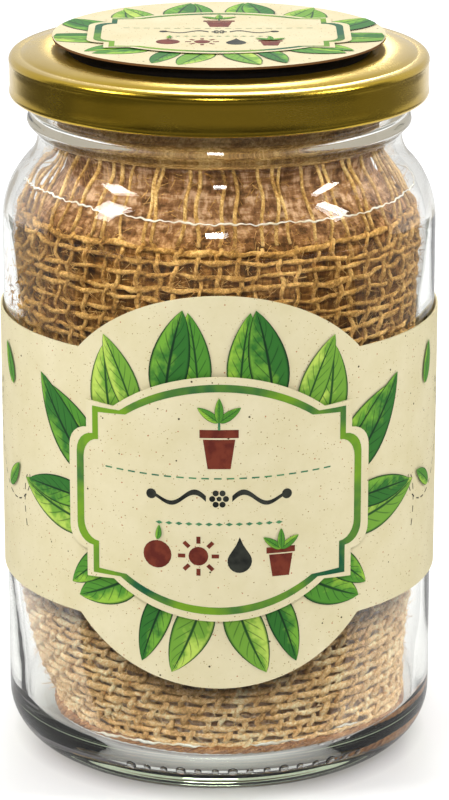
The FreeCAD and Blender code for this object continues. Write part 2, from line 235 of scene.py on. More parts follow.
def ogee(foot, head, first_share, count):
    """Two rounds that leave foot upright and reach head upright."""
    turn = 2 * math.atan2(foot[0] - head[0], head[1] - foot[1])
    radii = (head[1] - foot[1]) / math.sin(turn)
    first = radii * first_share
    last = radii - first
    degrees = math.degrees(turn)
    points = rounded((foot[0] - first, foot[1]), first, 0, degrees, count)
    return points + rounded((head[0] + last, head[1]), last, 180 + degrees, -degrees, count)[1:]


def eased(first, last, count):
    """Points from first to last along a soft S, without the first."""
    points = []
    for index in range(1, count + 1):
        along = index / count
        radius = first[0] + (last[0] - first[0]) * smooth(along)
        points.append((radius, first[1] + (last[1] - first[1]) * along))
    return points


def climb(radius, low, high, step):
    """Points straight up or down a wall, without the first."""
    count = max(1, round(abs(high - low) / step))
    return [(radius, low + (high - low) * index / count) for index in range(1, count + 1)]


# Making pieces

def begin():
    """Select nothing, so that the next tool works on its own piece alone."""
    bpy.ops.object.select_all(action="DESELECT")


def turned(name, profile, sides, closed=False):
    """A circle pulled through the points of a profile, (radius, height)."""
    begin()
    radius, height = profile[0]
    bpy.ops.mesh.primitive_circle_add(vertices=sides, radius=radius * MM, location=(0, 0, height * MM))
    piece = bpy.context.object
    piece.name = name
    bpy.ops.object.mode_set(mode="EDIT")
    bpy.ops.mesh.select_all(action="SELECT")
    for next_radius, next_height in profile[1:]:
        rise = (next_height - height) * MM
        bpy.ops.mesh.extrude_region_move(TRANSFORM_OT_translate={"value": (0, 0, rise)})
        if next_radius != radius:
            growth = next_radius / radius
            centre = (0, 0, next_height * MM)
            bpy.ops.transform.resize(value=(growth, growth, 1), center_override=centre)
        radius, height = next_radius, next_height
    bpy.ops.mesh.select_all(action="SELECT")
    if closed:
        bpy.ops.mesh.remove_doubles(threshold=0.01 * MM)
    else:
        bpy.ops.mesh.fill_holes(sides=0)
    bpy.ops.mesh.select_all(action="SELECT")
    bpy.ops.mesh.normals_make_consistent(inside=False)
    bpy.ops.object.mode_set(mode="OBJECT")
    bpy.ops.object.transform_apply(location=True, rotation=True, scale=True)
    bpy.ops.object.shade_smooth_by_angle(angle=math.radians(50))
    return piece


def from_faces(name, points, faces, marks=None):
    """A mesh from points in metres, with a place on the print or yarn for each corner."""
    mesh = bpy.data.meshes.new(name)
    mesh.from_pydata(points, [], faces)
    if marks:
        layer = mesh.uv_layers.new(name="UVMap")
        layer.data.foreach_set("uv", [value for mark in marks for value in mark])
    piece = bpy.data.objects.new(name, mesh)
    bpy.context.collection.objects.link(piece)
    return piece


def finished(piece, name, body, finish, stands_for=()):
    """Name a piece, give it its material and let it ride on its body."""
    piece.name = name
    piece.data.name = name
    piece.data.materials.clear()
    piece.data.materials.append(finish)
    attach(piece, body)
    if stands_for:
        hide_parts(*stands_for)
    return piece


def dressed(node, finish):
    """Give a node of the frame that shows as it is its material."""
    mesh = frame["nodes"][node].data
    mesh.materials.clear()
    mesh.materials.append(finish)


def modified(piece, kind, **settings):
    """Add a modifier and apply it."""
    begin()
    piece.select_set(True)
    bpy.context.view_layer.objects.active = piece
    modifier = piece.modifiers.new(kind.title(), kind)
    for key, value in settings.items():
        setattr(modifier, key, value)
    bpy.ops.object.modifier_apply(modifier=modifier.name)
    return piece


def joined(name, pieces):
    """Several pieces as one mesh."""
    begin()
    for piece in pieces:
        piece.select_set(True)
    bpy.context.view_layer.objects.active = pieces[0]
    if len(pieces) > 1:
        bpy.ops.object.join()
    pieces[0].name = name
    return pieces[0]


def shaded_smooth(piece, degrees=50.0):
    """Shade a piece smooth, but for edges sharper than this."""
    begin()
    piece.select_set(True)
    bpy.context.view_layer.objects.active = piece
    bpy.ops.object.shade_smooth_by_angle(angle=math.radians(degrees))
    return piece


def swept(name, routes, sides, closed):
    """Yarns. A route is a list of (middle, direction away from the cloth, half width, half thickness), in mm.

    The map runs in millimetres along a yarn and once round it.
    """
    points, faces, marks, starts = [], [], [], []
    for route in routes:
        start = len(points)
        count = len(route)
        lengths = [47.0 * len(starts)]
        starts.append(start)
        for index in range(1, count + 1):
            step = route[index % count][0] - route[index - 1][0]
            lengths.append(lengths[-1] + step.length)
        for index, (middle, away, half_width, half_thickness) in enumerate(route):
            before = route[index - 1][0] if index or closed else middle
            after = route[(index + 1) % count][0] if index < count - 1 or closed else middle
            along = (after - before).normalized()
            across = along.cross(away).normalized()
            upright = across.cross(along)
            for side in range(sides):
                angle = FULL * side / sides + math.pi
                out = upright * (half_thickness * math.cos(angle))
                points.append((middle + out + across * (half_width * math.sin(angle))) * MM)
        for index in range(count if closed else count - 1):
            here = start + index * sides
            there = start + (index + 1) % count * sides
            for side in range(sides):
                turn = (side + 1) % sides
                faces.append((here + side, here + turn, there + turn, there + side))
                u0, u1 = lengths[index], lengths[index + 1]
                v0, v1 = side / sides, (side + 1) / sides
                marks += [(u0, v0), (u0, v1), (u1, v1), (u1, v0)]
        if not closed:
            for end, turn in ((0, -1), (count - 1, 1)):
                ring = [start + end * sides + side for side in range(sides)][::turn]
                faces.append(ring)
                marks += [(lengths[end], 0.5)] * sides
    piece = from_faces(name, points, faces, marks)
    for polygon in piece.data.polygons:
        polygon.use_smooth = True
    return piece


# Materials

def add(tree, kind, settings=None, inputs=None):
    """One shader node. Inputs are values, or sockets to link from; stops are a colour ramp's."""
    node = tree.nodes.new("ShaderNode" + kind)
    for key, value in (settings or {}).items():
        if key == "stops":
            ramp = node.color_ramp
            ramp.elements.remove(ramp.elements[1])
            ramp.elements[0].position, ramp.elements[0].color = value[0][0], linear(value[0][1])
            for position, colour in value[1:]:
                ramp.elements.new(position).color = linear(colour)
        else:
            setattr(node, key, value)
    for key, value in (inputs or {}).items():
        if isinstance(value, bpy.types.NodeSocket):
            tree.links.new(value, node.inputs[key])
        else:
            node.inputs[key].default_value = value
    return node


def blank(name):
    """A material with an empty node tree."""
    made = bpy.data.materials.new(name)
    made.use_nodes = True
    made.node_tree.nodes.clear()
    return made, made.node_tree


def surface(tree, shader):
    """Show this shader on the surface."""
    add(tree, "OutputMaterial", inputs={"Surface": shader.outputs[0]})


def pressed_flint_glass():
    """Soda-lime flint glass, pressed and blown: clear and fire-polished, a trace of green where it is thick.

    Its outer face mirrors through a grey tint, painted shade that stands for a dim room, and its inner faces
    mirror in full. Above the shoulder, rays that were mirrored more than once show a painted pale glow, which
    stands for light that stays caught in the neck's thick bead, as it does in the real one.
    """
    made, tree = blank("pressed_flint_glass")
    through = add(tree, "BsdfRefraction", inputs={"Color": linear("#FFFFFF"), "Roughness": 0.0, "IOR": 1.5})
    inner = add(tree, "NewGeometry").outputs["Backfacing"]
    # Painted shade: the outer face mirrors through a grey tint that stands for a dim room.
    painted_mirror_shade = add(tree, "Mix", {"data_type": "RGBA"}, {
        0: inner, 6: linear("#C4C4C4"), 7: linear("#FFFFFF")})
    mirror = add(tree, "BsdfAnisotropic", inputs={"Color": painted_mirror_shade.outputs[2], "Roughness": 0.0})
    share = add(tree, "Fresnel", inputs={"IOR": 1.5})
    glass = add(tree, "MixShader", inputs={0: share.outputs[0], 1: through.outputs[0], 2: mirror.outputs[0]})
    ray = add(tree, "LightPath")
    height = add(tree, "SeparateXYZ", inputs={0: add(tree, "TexCoord").outputs["Object"]})
    # Painted glow: above the shoulder, rays mirrored more than once show a pale emission instead of the
    # glass.
    deep = add(tree, "Math", {"operation": "GREATER_THAN"}, {0: ray.outputs["Glossy Depth"], 1: 1.5})
    high = add(tree, "Math", {"operation": "GREATER_THAN"}, {0: height.outputs[2], 1: shoulder_height * MM})
    painted_glow_mask = add(tree, "Math", {"operation": "MULTIPLY"}, {0: deep.outputs[0], 1: high.outputs[0]})
    pale = add(tree, "Emission", inputs={"Color": linear("#C6BCAE"), "Strength": 1.0})
    bright = add(tree, "MixShader", inputs={0: painted_glow_mask.outputs[0], 1: glass.outputs[0], 2: pale.outputs[0]})
    clear = add(tree, "BsdfTransparent", inputs={"Color": linear("#F6F8F5")})
    both = add(tree, "MixShader", inputs={
        0: ray.outputs["Is Shadow Ray"], 1: bright.outputs[0], 2: clear.outputs[0]})
    tint = add(tree, "VolumeAbsorption", inputs={"Color": linear("#D3DCC4"), "Density": 26.0})
    add(tree, "OutputMaterial", inputs={"Surface": both.outputs[0], "Volume": tint.outputs[0]})
    return made


def ridge_painted_highlight():
    """A hair-thin ripple of glass left by the blowing, drawn as an opaque cream line: a painted highlight for
    the light it catches.
    """
    made, tree = blank("ridge_painted_highlight")
    place = add(tree, "TexCoord").outputs["Object"]
    break_up = add(tree, "TexNoise", inputs={"Vector": place, "Scale": per(5.0), "Detail": 3.0})
    # Painted highlight: this cream tone stands for the light that the ripple catches.
    tone = add(tree, "ValToRGB", {"stops": [(0.35, "#E9D9BC"), (0.6, "#FFFCF4")]}, {0: break_up.outputs[0]})
    surface(tree, add(tree, "BsdfPrincipled", inputs={"Base Color": tone.outputs[0], "Roughness": 0.2}))
    return made


def gold_lacquered_tinplate():
    """Tinplate under baked gold lacquer: a warm metal with soft reflections, rolling marks and scuffs.

    The real rolling marks are finer. They are drawn 0.9 mm apart, so that they show. The flat face, inside
    the ring, is duller than the ring and the skirt.
    """
    made, tree = blank("gold_lacquered_tinplate")
    place = add(tree, "TexCoord").outputs["Object"]
    flat = add(tree, "Mapping", inputs={
        "Vector": place, "Rotation": (0.0, 0.9, 0.6), "Scale": (1.0, 1.0, 7.0)})
    grain = add(tree, "TexNoise", inputs={
        "Vector": flat.outputs[0], "Scale": per(0.9), "Detail": 4.0, "Roughness": 0.7})
    cloud = add(tree, "TexNoise", inputs={"Vector": place, "Scale": per(16.0), "Detail": 2.0})
    tone = add(tree, "ValToRGB", {"stops": [(0.3, "#B2942A"), (0.7, "#BEA13C")]}, {0: cloud.outputs[0]})
    patch = add(tree, "MapRange", inputs={0: cloud.outputs[0], 1: 0.52, 2: 0.68, 3: 0.1, 4: 0.8})
    scuff = add(tree, "MapRange", inputs={0: grain.outputs[0], 1: 0.42, 2: 0.66, 3: 0.0, 4: 0.2})
    spread = add(tree, "VectorMath", {"operation": "MULTIPLY"}, {0: place, 1: (1.0, 1.0, 0.0)})
    reach = add(tree, "VectorMath", {"operation": "LENGTH"}, {0: spread.outputs[0]}).outputs["Value"]
    rubbed = add(tree, "MapRange", inputs={0: reach, 1: 33.0 * MM, 2: 37.0 * MM, 3: 0.42, 4: 0.22})
    worn = add(tree, "Math", {"operation": "MULTIPLY_ADD"}, {
        0: patch.outputs[0], 1: scuff.outputs[0], 2: rubbed.outputs[0]})
    bump = add(tree, "Bump", inputs={"Strength": 0.08, "Distance": 0.04 * MM, "Height": grain.outputs[0]})
    shader = add(tree, "BsdfPrincipled", inputs={
        "Base Color": tone.outputs[0], "Metallic": 1.0, "Roughness": worn.outputs[0],
        "Normal": bump.outputs[0]})
    surface(tree, shader)
    return made


def flecked_paper(name, dull, bright, board_edge=False):
    """Recycled uncoated paper: matt cream, with cloudy fibres and small dark and reddish flecks.

    A board also shows its brown core on its cut edge.
    """
    made, tree = blank(name)
    place = add(tree, "TexCoord").outputs["Object"]
    cloud = add(tree, "TexNoise", inputs={
        "Vector": place, "Scale": per(9.0), "Detail": 5.0, "Roughness": 0.65})
    tone = add(tree, "ValToRGB", {"stops": [(0.3, dull), (0.7, bright)]}, {0: cloud.outputs[0]})
    colour = tone.outputs[0]
    flecks = ((0.7, 0.13, "#AE9765"), (1.2, 0.11, "#927A50"), (1.9, 0.085, "#B57F5C"), (3.6, 0.06, "#50462F"))
    for size, limit, fleck in flecks:
        spots = add(tree, "TexVoronoi", inputs={"Vector": place, "Scale": per(size), "Randomness": 1.0})
        near = add(tree, "Math", {"operation": "LESS_THAN"}, {0: spots.outputs["Distance"], 1: limit})
        chosen = add(tree, "SeparateColor", inputs={0: spots.outputs["Color"]})
        some = add(tree, "Math", {"operation": "GREATER_THAN"}, {0: chosen.outputs[0], 1: 0.4})
        both = add(tree, "Math", {"operation": "MULTIPLY"}, {0: near.outputs[0], 1: some.outputs[0]})
        colour = add(tree, "Mix", {"data_type": "RGBA"}, {
            0: both.outputs[0], 6: colour, 7: linear(fleck)}).outputs[2]
    if board_edge:
        normal = add(tree, "SeparateXYZ", inputs={0: add(tree, "NewGeometry").outputs["Normal"]})
        upright = add(tree, "Math", {"operation": "ABSOLUTE"}, {0: normal.outputs[2]})
        edge = add(tree, "Math", {"operation": "LESS_THAN"}, {0: upright.outputs[0], 1: 0.5})
        colour = add(tree, "Mix", {"data_type": "RGBA"}, {
            0: edge.outputs[0], 6: colour, 7: linear("#6E4A26")}).outputs[2]
    fibre = add(tree, "TexNoise", inputs={"Vector": place, "Scale": per(0.5), "Detail": 4.0})
    bump = add(tree, "Bump", inputs={"Strength": 0.25, "Distance": 0.05 * MM, "Height": fibre.outputs[0]})
    shader = add(tree, "BsdfPrincipled", inputs={
        "Base Color": colour, "Roughness": 0.9, "Specular IOR Level": 0.3, "Normal": bump.outputs[0]})
    surface(tree, shader)
    return made


def leaf_ink(name, pale, full, deep):
    """Offset ink in a watercolour manner: the map runs from stalk to tip and from edge to edge."""
    made, tree = blank(name)
    marks = add(tree, "SeparateXYZ", inputs={0: add(tree, "TexCoord").outputs["UV"]})
    along, across = marks.outputs[0], marks.outputs[1]
    off = add(tree, "Math", {"operation": "SUBTRACT"}, {0: across, 1: 0.5})
    reach = add(tree, "Math", {"operation": "ABSOLUTE"}, {0: off.outputs[0]})
    place = add(tree, "TexCoord").outputs["Object"]
    wash = add(tree, "TexNoise", inputs={
        "Vector": place, "Scale": per(4.0), "Detail": 3.0, "Roughness": 0.6})
    half = add(tree, "Math", {"operation": "MULTIPLY_ADD"}, {0: off.outputs[0], 1: 0.5, 2: wash.outputs[0]})
    tone = add(tree, "ValToRGB", {"stops": [(0.3, full), (0.52, full), (0.74, pale)]}, {0: half.outputs[0]})
    lean = add(tree, "Math", {"operation": "MULTIPLY_ADD"}, {0: reach.outputs[0], 1: -0.55, 2: along})
    ribs = add(tree, "Math", {"operation": "PINGPONG"}, {0: lean.outputs[0], 1: 0.07})
    rib = add(tree, "MapRange", inputs={0: ribs.outputs[0], 1: 0.0, 2: 0.016, 3: 0.75, 4: 0.0})
    middle = add(tree, "MapRange", inputs={0: reach.outputs[0], 1: 0.02, 2: 0.05, 3: 1.0, 4: 0.0})
    edge = add(tree, "MapRange", inputs={0: reach.outputs[0], 1: 0.42, 2: 0.48, 3: 0.0, 4: 1.0})
    tips = add(tree, "MapRange", inputs={0: reach.outputs[0], 1: 0.3, 2: 0.4, 3: 1.0, 4: 0.0})
    inner = add(tree, "Math", {"operation": "MULTIPLY"}, {0: rib.outputs[0], 1: tips.outputs[0]})
    lines = add(tree, "Math", {"operation": "MAXIMUM"}, {0: inner.outputs[0], 1: middle.outputs[0]})
    dark = add(tree, "Math", {"operation": "MAXIMUM"}, {0: lines.outputs[0], 1: edge.outputs[0]})
    colour = add(tree, "Mix", {"data_type": "RGBA"}, {
        0: dark.outputs[0], 6: tone.outputs[0], 7: linear(deep)})
    shader = add(tree, "BsdfPrincipled", inputs={
        "Base Color": colour.outputs[2], "Roughness": 0.8, "Specular IOR Level": 0.3})
    surface(tree, shader)
    return made


def flat_ink(name, first, second, size):
    """Offset ink on uncoated paper: matt, a little uneven between two tones."""
    made, tree = blank(name)
    place = add(tree, "TexCoord").outputs["Object"]
    wash = add(tree, "TexNoise", inputs={"Vector": place, "Scale": per(size), "Detail": 3.0})
    tone = add(tree, "ValToRGB", {"stops": [(0.38, first), (0.6, second)]}, {0: wash.outputs[0]})
    surface(tree, add(tree, "BsdfPrincipled", inputs={
        "Base Color": tone.outputs[0], "Roughness": 0.8, "Specular IOR Level": 0.3}))
    return made


def by_height(tree, place, low_colour, high_colour, start, end):
    """One colour below the first height, another above the second, in millimetres."""
    height = add(tree, "SeparateXYZ", inputs={0: place})
    level = add(tree, "MapRange", inputs={
        0: height.outputs[2], 1: start * MM, 2: end * MM, 3: 0.0, 4: 1.0})
    return add(tree, "Mix", {"data_type": "RGBA"}, {
        0: level.outputs[0], 6: low_colour, 7: high_colour}).outputs[2]


def jute_yarn(name, low_tones, high_tones, twist):
    """Single jute yarn, spun and undyed: matt fibres that wind round it, paler at the sack's foot.

    Real fibres are finer. They are drawn 0.7 mm apart, so that they show. One turn of twist takes this
    many millimetres.
    """
    made, tree = blank(name)
    coordinates = add(tree, "TexCoord")
    place = coordinates.outputs["Object"]
    marks = add(tree, "SeparateXYZ", inputs={0: coordinates.outputs["UV"]})
    winding = add(tree, "Math", {"operation": "MULTIPLY_ADD"}, {
        0: marks.outputs[0], 1: 1 / twist, 2: marks.outputs[1]})
    round_it = add(tree, "Math", {"operation": "MULTIPLY"}, {0: winding.outputs[0], 1: 5.0})
    along = add(tree, "Math", {"operation": "MULTIPLY"}, {0: marks.outputs[0], 1: 0.9})
    strand = add(tree, "CombineXYZ", inputs={0: along.outputs[0], 1: round_it.outputs[0]})
    fibre = add(tree, "TexNoise", inputs={
        "Vector": strand.outputs[0], "Scale": 1.0, "Detail": 4.0, "Roughness": 0.7})
    cloud = add(tree, "TexNoise", inputs={"Vector": place, "Scale": per(5.0), "Detail": 3.0})
    fine = add(tree, "TexNoise", inputs={
        "Vector": place, "Scale": per(0.7), "Detail": 3.0, "Roughness": 0.7})
    both = add(tree, "Mix", inputs={0: 0.55, 2: fibre.outputs[0], 3: fine.outputs[0]})
    mixed = add(tree, "Math", {"operation": "MULTIPLY_ADD"}, {
        0: cloud.outputs[0], 1: 0.55, 2: both.outputs[0]})
    ramps = []
    for tones in (low_tones, high_tones):
        stops = [(0.6, tones[0]), (0.76, tones[1]), (0.92, tones[2])]
        ramps.append(add(tree, "ValToRGB", {"stops": stops}, {0: mixed.outputs[0]}).outputs[0])
    colour = by_height(tree, place, ramps[0], ramps[1], foot_tone_top, body_tone_low)
    bump = add(tree, "Bump", inputs={"Strength": 0.7, "Distance": 0.2 * MM, "Height": both.outputs[0]})
    shader = add(tree, "BsdfPrincipled", inputs={
        "Base Color": colour, "Roughness": 0.85, "Specular IOR Level": 0.3, "Normal": bump.outputs[0]})
    surface(tree, shader)
    return made


def jute_ground_painted_shade():
    """A dull layer of fibre behind the crowns, with the next yarns faintly drawn in it. Its dark brown body
    tone is painted shade of the sack's dim inside, seen through the gaps of the weave.
    """
    made, tree = blank("jute_ground_painted_shade")
    place = add(tree, "TexCoord").outputs["Object"]
    rows = add(tree, "TexNoise", inputs={
        "Vector": add(tree, "Mapping", inputs={"Vector": place, "Scale": (0.2, 0.2, 1.0)}).outputs[0],
        "Scale": per(1.3), "Detail": 4.0, "Roughness": 0.65})
    columns = add(tree, "TexNoise", inputs={
        "Vector": add(tree, "Mapping", inputs={"Vector": place, "Scale": (1.0, 1.0, 0.15)}).outputs[0],
        "Scale": per(1.5), "Detail": 4.0, "Roughness": 0.65})
    weave = add(tree, "Math", {"operation": "ADD"}, {0: rows.outputs[0], 1: columns.outputs[0]})
    half = add(tree, "Math", {"operation": "MULTIPLY"}, {0: weave.outputs[0], 1: 0.5}).outputs[0]
    zones = []
    # The body zone's dark brown is painted shade of the sack's dim inside, seen through the weave.
    for stops in ([(0.4, "#A28068"), (0.52, "#DCC0AA"), (0.62, "#FFF4EA")],
                  [(0.4, "#462A0C"), (0.52, "#8C5A20"), (0.62, "#D0964A")],
                  [(0.4, "#684628"), (0.5, "#A07248"), (0.6, "#E0B892")]):
        zones.append(add(tree, "ValToRGB", {"stops": stops}, {0: half}).outputs[0])
    foot, body, bare = zones
    colour = by_height(tree, place, foot, body, foot_tone_top, body_tone_low)
    colour = by_height(tree, place, colour, bare, bare_tone_low, bare_tone_top)
    bump = add(tree, "Bump", inputs={"Strength": 1.0, "Distance": 0.8 * MM, "Height": weave.outputs[0]})
    shader = add(tree, "BsdfPrincipled", inputs={
        "Base Color": colour, "Roughness": 0.95, "Specular IOR Level": 0.2, "Normal": bump.outputs[0]})
    surface(tree, shader)
    return made


def rough_fill(name, dark, light, grain, roughness, depth):
    """A matt body with a grain of the given size and depth, for fibre board, foam and seed coats."""
    made, tree = blank(name)
    place = add(tree, "TexCoord").outputs["Object"]
    noise = add(tree, "TexNoise", inputs={
        "Vector": place, "Scale": per(grain), "Detail": 6.0, "Roughness": 0.7})
    tone = add(tree, "ValToRGB", {"stops": [(0.35, dark), (0.65, light)]}, {0: noise.outputs[0]})
    bump = add(tree, "Bump", inputs={"Strength": 0.7, "Distance": depth * MM, "Height": noise.outputs[0]})
    shader = add(tree, "BsdfPrincipled", inputs={
        "Base Color": tone.outputs[0], "Roughness": roughness, "Specular IOR Level": 0.3,
        "Normal": bump.outputs[0]})
    surface(tree, shader)
    return made


# Glass jar

def jar_outside():
    """From the punt round the heel and up to the rim."""
    foot_inner = heel[0] - standing_width
    groove = (groove_radius, groove_height)
    bead = (bead_radius, bead_height)
    finish = (finish_radius, finish_height)
    points = [(foot_inner - punt_run, punt_height), (foot_inner - 0.5, 0.25), (foot_inner, 0.0)]
    points += rounded(heel, heel_round, -90, 90, 18)
    points += climb(body_radius, heel_round, shoulder_height, 8.0)
    points += ogee((body_radius, shoulder_height), groove, convex_share, 14)[1:]
    points += eased(groove, bead, 6) + eased(bead, finish, 5)
    points += climb(finish_radius, finish_height, jar_height - rim_round, 0.35)
    rim = (finish_radius - rim_round, jar_height - rim_round)
    return points + rounded(rim, rim_round, 0, 90, 5)[1:]


def jar_inside():
    """From the rim down the wall and in to the floor."""
    neck = (neck_bore, groove_height)
    inner_heel = (bore - inner_heel_round, base_wall + inner_heel_round)
    points = rounded((mouth_radius + rim_round, jar_height - rim_round), rim_round, 90, 90, 5)
    points += climb(mouth_radius, jar_height - rim_round, finish_height, 3.0)
    points += eased((mouth_radius, finish_height), neck, 6)
    points += ogee((bore, shoulder_height), neck, inner_share, 12)[::-1][1:]
    points += climb(bore, shoulder_height, inner_heel[1], 4.0)
    points += rounded(inner_heel, inner_heel_round, 0, -90, 12)[1:]
    return points + [(inner_heel[0] * share, base_wall + 0.5 * (1 - share)) for share in (0.8, 0.5, 0.2)]


def raise_threads(piece):
    """Swell the segments of the finish out of the thread wall."""
    spacing = FULL / start_count
    low, high = finish_height + 0.2, jar_height - rim_round - 0.2
    for vertex in piece.data.vertices:
        place = vertex.co / MM
        radius = math.hypot(place.x, place.y)
        if radius < finish_radius - 0.01 or not low < place.z < high:
            continue
        turn = math.atan2(place.y, place.x) % spacing - spacing / 2
        middle = thread_middle + thread_rise * (turn / thread_span + 0.5)
        ends = smooth((thread_span / 2 + 0.06 - abs(turn)) / 0.12)
        crown = smooth(1.25 - abs(place.z - middle) / thread_half_height)
        growth = (radius + thread_depth * ends * crown) / radius
        vertex.co.x *= growth
        vertex.co.y *= growth


def ripple_inner_wall(piece):
    """Blown walls wander a little on the inside, which bends what is seen through them."""
    for vertex in piece.data.vertices:
        place = vertex.co / MM
        radius = math.hypot(place.x, place.y)
        if not base_wall + 2 < place.z < finish_height or radius > bore + 0.1:
            continue
        turn = math.atan2(place.y, place.x)
        wave = math.sin(turn * 5 + place.z / 17) + 0.8 * math.sin(turn * 9 - place.z / 11 + 1.3)
        wave += 0.5 * math.sin(turn * 17 + place.z / 6.0)
        fade = smooth((place.z - base_wall - 2) / 8) * smooth((finish_height - place.z) / 6)
        growth = (radius + wall_ripple * wave * fade) / radius
        vertex.co.x *= growth
        vertex.co.y *= growth


def glass_jar(finish):
    """The jar in one piece: outside, rim and inside."""
    wall = turned("jar_glass", jar_outside() + jar_inside(), glass_sides)
    raise_threads(wall)
    ripple_inner_wall(wall)
    finished(wall, "jar_glass", "jar", finish, ["glass_jar"])


def inner_wall(height):
    """Radius of the inner wall between the floor and the neck."""
    shoulder = ogee((bore, shoulder_height), (neck_bore, groove_height), inner_share, 12)
    heel_top = base_wall + inner_heel_round
    if height < heel_top:
        return bore - inner_heel_round + math.sqrt(inner_heel_round ** 2 - (heel_top - height) ** 2)
    if height <= shoulder_height:
        return bore
    return along_line([(z, r) for r, z in shoulder], height)


def glass_ridges(finish):
    """Fine ripples on the inner wall, round the shoulder and in three runs above the heel, in the cream
    finish of a painted highlight.
    """
    pieces = []
    for start, end, level, size in ((-180, 180, shoulder_height + 7.9, 0.17), (-38, -3, 11.9, 0.26),
                                    (8, 24, 12.1, 0.26), (33, 42, 13.1, 0.2)):
        whole = end - start == 360
        route = []
        steps = int((end - start) * 2.5)
        for step in range(steps + (0 if whole else 1)):
            turn = math.radians(start + (end - start) * step / steps)
            height = level + 0.1 * math.sin(turn * 61) + 0.09 * math.sin(turn * 127 + 1)
            height += 0.1 * math.sin(turn * 23)
            if whole:
                height += 1.0 - math.cos(turn) - 0.6 * math.sin(turn * 2) + 0.15 * math.sin(turn * 5)
            away = Vector((math.sin(turn), -math.cos(turn), 0))
            taper = 1.0 if whole else smooth(6 * step / steps) * smooth(6 * (steps - step) / steps)
            half = size * (0.25 + 0.75 * taper) * (1 + 0.35 * math.sin(turn * 31))
            middle = away * (inner_wall(height) - 0.32) + Vector((0, 0, height))
            route.append((middle, away, half, half * 0.8))
        pieces.append(swept("ridge", [route], 6, whole))
    finished(joined("jar_ripple_highlights", pieces), "jar_ripple_highlights", "jar", finish)


def heel_dots(finish):
    """A row of small raised dots on the heel, as a mould leaves. Every third one is larger."""
    pieces = []
    radius = heel[0] + (heel_round + dot_stand) * math.cos(dot_slope)
    height = heel[1] + (heel_round + dot_stand) * math.sin(dot_slope)
    for index in range(dot_count):
        turn = dot_start + dot_step * index
        place = Vector((radius * math.sin(turn), -radius * math.cos(turn), height))
        size = 0.75 if index % 3 else 1.05
        begin()
        bpy.ops.mesh.primitive_uv_sphere_add(segments=16, ring_count=10, radius=size * MM,
                                             location=place * MM)
        dot = bpy.context.object
        dot.scale = (1.0, 1.0, 0.28)
        dot.rotation_euler = (math.radians(90) - dot_slope, 0, turn)
        bpy.ops.object.transform_apply(location=True, rotation=True, scale=True)
        pieces.append(dot)
    finished(shaded_smooth(joined("heel_dots", pieces), 80), "heel_dots", "jar", finish)


# Lid

def lid_face():
    """From the recess over the ring and shoulder, down the skirt and round the rolled hem."""
    curl = (lid_radius - curl_round, lid_low.z + curl_round)
    points = [(2.0, recess_height), (ring_inner - 1.1, recess_height)]
    points += eased(points[-1], (ring_inner + 0.6, lid_height - 0.12), 5)
    for run, drop in ((1.7, 0.0), (2.9, 0.0), (4.0, 0.06), (5.0, 0.17), (6.0, 0.34), (7.0, 0.57), (7.7, 0.78),
                      (8.1, 0.98), (8.35, 1.1), (8.6, 1.12)):
        points.append((ring_inner + run, lid_height - drop))
    shoulder = (lid_radius - 1.3, lid_height - 2.4)
    points += rounded(shoulder, 1.3, 68, -68, 8)
    points += [(lid_radius, lid_height - 2.6), (lid_radius - 0.06, lid_height - 2.9)]
    points += [(lid_radius - 0.12, lid_height - 3.2)]
    points += climb(lid_radius - 0.12, lid_height - 3.2, curl[1] + 0.8, 1.2)
    points += [(lid_radius - 0.04, curl[1] + 0.4)]
    return points + rounded(curl, curl_round, 0, -235, 16)


def lug():
    """One lug, folded inwards out of the hem."""
    begin()
    middle = (lug_reach + lid_radius - curl_round) / 2
    bottom = lid_low.z + lug_lift
    bpy.ops.mesh.primitive_cube_add(size=MM, location=(middle * MM, 0, (bottom + lug_height / 2) * MM))
    piece = bpy.context.object
    depth = lid_radius - curl_round - lug_reach
    piece.scale = (depth, lug_span * middle, lug_height)
    bpy.ops.object.transform_apply(location=True, rotation=True, scale=True)
    bpy.ops.object.mode_set(mode="EDIT")
    bpy.ops.mesh.select_all(action="SELECT")
    bpy.ops.mesh.subdivide(number_cuts=3)
    bpy.ops.object.mode_set(mode="OBJECT")
    for vertex in piece.data.vertices:
        turn = vertex.co.y / (middle * MM)
        radius = vertex.co.x
        vertex.co.x, vertex.co.y = radius * math.cos(turn), radius * math.sin(turn)
    return modified(piece, "BEVEL", width=0.35 * MM, segments=3, limit_method="ANGLE")


def lid(finish):
    """The pressed sheet with its rolled hem, and six lugs folded inwards."""
    shell = turned("lid_shell_sheet", lid_face(), lid_sides)
    shell = modified(shell, "SOLIDIFY", thickness=lid_sheet * MM, offset=-1.0)
    pieces = [shell]
    first = lug()
    for index in range(start_count):
        copy = first.copy()
        copy.data = first.data.copy()
        bpy.context.collection.objects.link(copy)
        copy.rotation_euler = (0, 0, FULL / start_count * index)
        pieces.append(copy)
    bpy.data.objects.remove(first)
    begin()
    for piece in pieces:
        piece.select_set(True)
    bpy.context.view_layer.objects.active = shell
    bpy.ops.object.transform_apply(location=True, rotation=True, scale=True)
    shell = shaded_smooth(joined("lid_gold", pieces), 40)
    finished(shell, "lid_gold", "lid", finish, ["lid_shell"])


def lid_gasket(finish):
    """The flowed-in ring, which fills the channel up to the sheet's underside."""
    inner, low, high = ring_inner + 3.5, gasket_low.z, lid_height - lid_sheet
    profile = [(inner, high - 0.12), (inner, low + 0.3), (inner + 0.3, low), (inner + 4.0, low)]
    profile += [(inner + 4.3, low + 0.14), (inner + 3.5, high - 0.65), (inner + 2.5, high - 0.43)]
    profile += [(inner + 1.5, high - 0.27), (inner, high - 0.12)]
    ring = turned("gasket_ring", profile, 128, closed=True)
    finished(ring, "gasket_ring", "lid_seal", finish, ["lid_gasket"])


